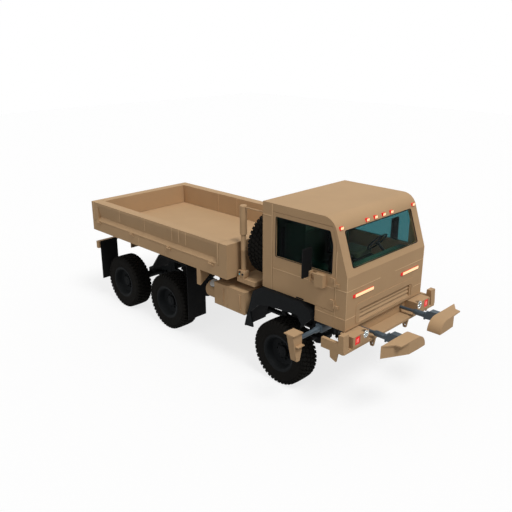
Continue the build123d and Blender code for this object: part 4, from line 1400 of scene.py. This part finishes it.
# ---------------------------------------------------------------- round parts along the chassis
@dataclass
class RoundWork(Group):
    """Turned and tubular pieces that stand in for many-sided CAD bars: arms, stack and air tank."""

    arm_y: float = 0.560
    arm_z: float = 1.270
    side_arm_x: float = 0.785
    rail_y: float = 0.412
    stack_x: float = -0.945
    stack_y: float = -1.000
    tank_y: float = -0.880
    tank_z: float = 1.130
    pipe_x: float = -1.716

    def front_arm(self, side: int) -> list[Shape]:
        """Forward arm: thin rod, cone step, thick tube, square collar and the plate to its shoe.

        Args:
            side: -1 for the right, 1 for the left.

        Returns:
            The arm's pieces.
        """
        y, z = side * self.arm_y, self.arm_z
        steps = [(0, 0.027), (0.50, 0.027), (0.54, 0.034), (0.60, 0.047), (1, 0.047)]
        rod = turned((1.222, y, z), (1.700, y, z), steps, sides=28)
        collar = bar((1.700, y - 0.060, z - 0.060), (1.725, y + 0.060, z + 0.060), "x", 0.006)
        outline = [(1.226, 1.725), (1.319, 1.725), (1.3845, 1.800), (1.3845, 1.9295), (1.241, 1.9295)]
        return [rod, collar, plate(outline, y - 0.055, y + 0.055, "y")]

    def side_arm(self) -> list[Shape]:
        """Arm to the right: root block on the rail, thick tube, collar and thin tip.

        Returns:
            The arm's pieces.
        """
        x, z = self.side_arm_x, self.arm_z
        root = bar((x - 0.070, -0.427, 1.200), (x + 0.070, -self.rail_y, 1.340), "y", 0.003)
        clamp = bar((x - 0.065, -1.060, 1.210), (x + 0.065, -0.800, 1.340), "y", 0.010)
        steps = [(0, 0.047), (0.60, 0.047), (0.64, 0.0475), (0.675, 0.047), (0.70, 0.035), (1, 0.035)]
        return [root, clamp, turned((x, -self.rail_y, z), (x, -1.500, z), steps, sides=28)]

    def stack(self) -> list[Shape]:
        """Intake stack: base, thin lower pipe, wider upper pipe with two bands and a bevelled cap.

        Returns:
            The stack's pieces.
        """
        x, y = self.stack_x, self.stack_y
        base = bar((x - 0.075, y - 0.065, 1.640), (x + 0.075, y + 0.065, 1.770), "z", 0.012)
        thin = [(0, 0.044), (0.55, 0.044), (0.56, 0.047), (0.60, 0.047), (0.61, 0.044), (1, 0.044)]
        wide = [(0, 0.044), (0.03, 0.061), (0.49, 0.061), (0.50, 0.062), (0.53, 0.061), (0.97, 0.061)]
        lower = turned((x, y, 1.770), (x, y, 2.400), thin, sides=28)
        upper = turned((x, y, 2.400), (x, y, 2.920), [*wide, (1, 0.05)], sides=32)
        stay = curve_through([(along, y, 2.890) for along in (x, -0.800, -0.600, -0.428)])
        return [base, lower, upper, tube(stay, 0.0115, sides=12)]

    def air_tank(self) -> list[Shape]:
        """Air tank with domed ends, its drain pipe and bracket.

        Returns:
            The tank's pieces.
        """
        x, y, z = self.pipe_x, self.tank_y, self.tank_z
        half = [(0, 0.05), (0.02, 0.11), (0.06, 0.145), (0.13, 0.162)]
        domed = half + [(1 - share, radius) for share, radius in reversed(half)]
        body = turned((-1.960, y, z), (-1.580, y, z), domed, sides=36)
        pipe = turned((x, y, z), (x, -1.010, 1.316), [(0, 0.033), (1, 0.033)], sides=20)
        foot = bar((-1.660, y, 1.200), (-1.600, -self.rail_y, 1.270), "y", 0.006)
        return [body, pipe, foot]

    def filler_cap(self) -> Shape:
        """White cap that screws over the end of the tank's pipe."""
        grip = [(0, 0.080), (0.6, 0.082), (0.9, 0.076), (1, 0.060)]
        return turned((self.pipe_x, -1.002, 1.305), (self.pipe_x, -1.024, 1.336), grip, sides=36)

    def cap_seal(self) -> Shape:
        """Black rubber ring under the cap."""
        ring = [(0, 0.078), (0.5, 0.084), (1, 0.078)]
        return turned((self.pipe_x, -0.994, 1.293), (self.pipe_x, -1.002, 1.305), ring, sides=36)

    def stack_fittings(self) -> Shape:
        """Two black knobs on the outer face of the stack's base."""
        knob, places = [(0, 0.018), (0.8, 0.018), (1, 0.012)], ((-0.972, 1.745), (-0.905, 1.712))
        return joined([turned((x, -1.063, z), (x, -1.085, z), knob, sides=16) for x, z in places])

    def sight_glass(self) -> Shape:
        """Small gauge on the same face, its sight glass glowing as painted light."""
        dome = [(0, 0.011), (0.6, 0.011), (1, 0.006)]
        return turned((-0.985, -1.063, 1.700), (-0.985, -1.070, 1.700), dome, sides=16)

    def rail_bolts(self) -> Shape:
        """Bolt heads along the outer webs of both chassis rails, in two rows.

        Returns:
            All the heads.
        """
        rows = []
        for side, _ in SIDES:
            places = [(x, side * self.rail_y, z) for x in np.arange(-5.1, 1.1, 0.4) for z in (1.225, 1.385)]
            rows.append(rivets(places, (0, side, 0), 0.011, 0.007))
        return joined(rows)

    def flange_bolts(self) -> Shape:
        """Four bolt heads on the rearward face of each front arm's square collar.

        Returns:
            All the heads.
        """
        corners = [(across, up) for across in (-0.046, 0.046) for up in (-0.046, 0.046)]
        middles = [side * self.arm_y for side, _ in SIDES]
        places = [(1.700, y + across, self.arm_z + up) for y in middles for across, up in corners]
        return rivets(places, (-1, 0, 0), 0.008, 0.006)

    def make(self) -> None:
        """Build the round pieces in place of their CAD nodes, and the fittings on them."""
        looks = self.finishes
        self.piece("filler_cap", self.filler_cap(), looks.cap, smooth=30)
        self.piece("cap_seal", self.cap_seal(), looks.flap, smooth=30)
        self.piece("stack_fittings", self.stack_fittings(), looks.pan, smooth=30)
        # the sight glass glows as painted light
        self.piece("sight_glass", self.sight_glass(), looks.gauge, smooth=30)
        self.piece("rail_bolts", self.rail_bolts(), looks.chassis, smooth=50)
        self.piece("flange_bolts", self.flange_bolts(), looks.slate, smooth=50)
        arms = [s for side, _ in SIDES for s in self.front_arm(side)] + self.side_arm()
        for name, node, shapes, finish, slot in (
            ("slate_arm_work", "slate_arms", arms, looks.slate, "slate_paint"),
            ("stack_work", "intake_stack", self.stack(), looks.sand, "tan_paint"),
            ("air_tank_work", "air_tank", self.air_tank(), looks.sand, "tan_paint"),
        ):
            piece = self.piece(name, joined(shapes), finish, smooth=30)
            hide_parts(node)


@dataclass
class BedTrim(Group):
    """Seams on the bed's boards and sills, and the latches of its tool box."""

    half_width: float = 1.276
    board: float = 0.200  # thickness of a board
    half_seam: float = 0.004
    proud: float = 0.004

    def upright(self, side: int, x: float, low: float, high: float) -> Shape:
        """Thin upright bead on a board's outer face.

        Args:
            side: -1 for the right, 1 for the left.
            x: its middle.
            low: its lower end.
            high: its upper end.

        Returns:
            The bead.
        """
        start = (x - self.half_seam, side * (self.half_width - SUNK), low)
        end = (x + self.half_seam, side * (self.half_width + self.proud), high)
        return bar(start, end, "z", SEAM_EDGE)

    def inner_upright(self, side: int, x: float) -> Shape:
        """Thin upright bead on a board's inner face.

        Args:
            side: -1 for the right, 1 for the left.
            x: its middle.

        Returns:
            The bead.
        """
        face = self.half_width - self.board
        start = (x - self.half_seam, side * (face - self.proud), 1.840)
        end = (x + self.half_seam, side * (face + SUNK), 2.236)
        return bar(start, end, "z", SEAM_EDGE)

    def box_latches(self) -> Shape:
        """Two lever latches on the tool box, with the divider between its doors.

        Returns:
            The latches and the divider.
        """
        shapes = [bar((-1.206, -1.1545, 1.035), (-1.198, -1.148, 1.410), "z", 0.003)]
        for x in (-1.316, -0.893):
            shapes.append(bar((x - 0.014, -1.166, 1.090), (x + 0.014, -1.148, 1.350), "z", 0.008))
            for low in (1.070, 1.340):
                shapes.append(bar((x - 0.030, -1.160, low), (x + 0.030, -1.148, low + 0.030), "x", 0.006))
        return joined(shapes)

    def make(self) -> None:
        """Build the beads and latches."""
        tall, short = (1.850, 2.238), (1.990, 2.238)
        for side, tag in SIDES:
            beads = [self.upright(side, x, *short) for x in (-4.280, -3.420, -2.570, -2.367, -2.165)]
            beads += [self.upright(side, x, *tall) for x in (-1.300, -5.250)]
            beads += [self.inner_upright(side, x) for x in (-3.9, -3.3, -2.2)]
            # the board beads are painted lighter, a painted highlight of their lit edges
            self.piece(f"board_beads_{tag}", joined(beads), self.finishes.edge, f"side_board_{tag}")
        lower = [self.upright(side, x, 1.630, 1.800) for side, _ in SIDES for x in (-3.650, -2.775)]
        # the sill beads carry the same painted highlight
        self.piece("sill_beads", joined(lower), self.finishes.edge)
        self.piece("box_latches", self.box_latches(), self.finishes.sand)


# ---------------------------------------------------------------- studio
@dataclass
class Studio:
    """Pale floor, soft lights, white surroundings and the camera."""

    datum: Datum
    eye: Point = (6.249, -7.932, 5.549)
    azimuth: float = 134.85
    downward: float = 19.45
    lens_mm: float = 43.63
    sensor_mm: float = 36.0
    farthest: float = 200.0
    floor_half: float = 40.0
    floor_white: float = 0.78
    ambient: float = 0.36

    def direction(self, azimuth: float, height: float) -> Vector:
        """Unit direction at an azimuth and a height in degrees."""
        turn, tilt = radians(azimuth), radians(height)
        return Vector((cos(turn) * cos(tilt), sin(turn) * cos(tilt), sin(tilt)))

    def seen_directly(self, graph: Graph) -> Socket:
        """One where a ray comes from the camera, a reflection or through glass, and zero elsewhere.

        Args:
            graph: the node tree to work in.

        Returns:
            The socket that holds it.
        """
        path = graph.add("LightPath").outputs
        shiny = graph.combine("MAXIMUM", path["Is Camera Ray"], path["Is Glossy Ray"])
        return graph.combine("MAXIMUM", shiny, path["Is Transmission Ray"])

    def camera(self) -> None:
        """Place the camera at its eye, turned by azimuth and tilted down."""
        data = bpy.data.cameras.new("camera")
        data.lens = self.lens_mm
        data.sensor_width = self.sensor_mm
        data.clip_end = self.farthest
        holder = bpy.data.objects.new("camera", data)
        holder.location = self.datum.at(*self.eye)
        view = self.direction(self.azimuth, -self.downward)
        holder.rotation_euler = view.to_track_quat("-Z", "Y").to_euler()
        bpy.context.scene.collection.objects.link(holder)
        bpy.context.scene.camera = holder

    def floor(self) -> None:
        """Pale floor that shows white where nothing shades it."""
        half = self.floor_half
        shape = plate([(-half, -half), (half, -half), (half, half), (-half, half)], -0.02, 0.0, "z")
        mesh = bpy.data.meshes.new("floor")
        mesh.from_pydata(shape.points.tolist(), [], shape.faces)
        material, graph = blank("pale_studio_floor")
        matt, pale = (graph.add("BsdfDiffuse", {"Color": linear(hue)}) for hue in (Hue.FLOOR, Hue.WHITE))
        white = graph.add("Emission", {"Color": linear(Hue.WHITE), "Strength": 1.0})
        shared = {0: self.floor_white, 1: pale.outputs[0], 2: white.outputs[0]}
        shown = graph.add("MixShader", shared)
        mixed = {0: self.seen_directly(graph), 1: matt.outputs[0], 2: shown.outputs[0]}
        graph.surface(graph.add("MixShader", mixed))
        mesh.materials.append(material)
        piece = bpy.data.objects.new("floor", mesh)
        bpy.context.scene.collection.objects.link(piece)

    def lamp(self, name: str, azimuth: float, height: float, strength: float, spread: float) -> None:
        """Sun lamp, softened by its spread.

        Args:
            name: the lamp's name.
            azimuth: direction it shines from, in degrees.
            height: its height above the ground, in degrees.
            strength: its strength.
            spread: its own width in degrees.
        """
        data = bpy.data.lights.new(name, "SUN")
        data.energy = strength
        data.angle = radians(spread)
        holder = bpy.data.objects.new(name, data)
        holder.rotation_euler = self.direction(azimuth, height).to_track_quat("Z", "Y").to_euler()
        bpy.context.scene.collection.objects.link(holder)

    def surroundings(self) -> None:
        """World that lights evenly, and is white to the camera, in reflections and through glass."""
        world = bpy.data.worlds.new("studio")
        bpy.context.scene.world = world
        world.use_nodes = True
        world.node_tree.nodes.clear()
        graph = Graph(world.node_tree)
        strength = graph.spread(self.seen_directly(graph), self.ambient, 1.0)
        light = graph.add("Background", {"Color": linear(Hue.WHITE), "Strength": strength})
        graph.add("OutputWorld", {"Surface": light.outputs[0]})

    def make(self) -> None:
        """Set up the whole studio."""
        self.floor()
        self.lamp("key", azimuth=-10, height=58, strength=1.9, spread=20)
        self.lamp("fill", azimuth=-100, height=40, strength=0.38, spread=40)
        self.surroundings()
        self.camera()
        bpy.context.scene.view_settings.view_transform = "Standard"
        log.info("studio")


def main() -> None:
    """Dress the truck, add its finer pieces group by group, and set up its studio."""
    logging.basicConfig(level=logging.INFO, format="%(message)s")
    datum, finishes = find_datum(), Finishes()
    Dresser(finishes).dress()
    make_wheels(finishes)
    for group in (CabTrim, Lamps, CabInside, Cabin, RoundWork, BedTrim):
        group(datum, finishes).make()
    Studio(datum).make()


if __name__ == "__main__":
    main()
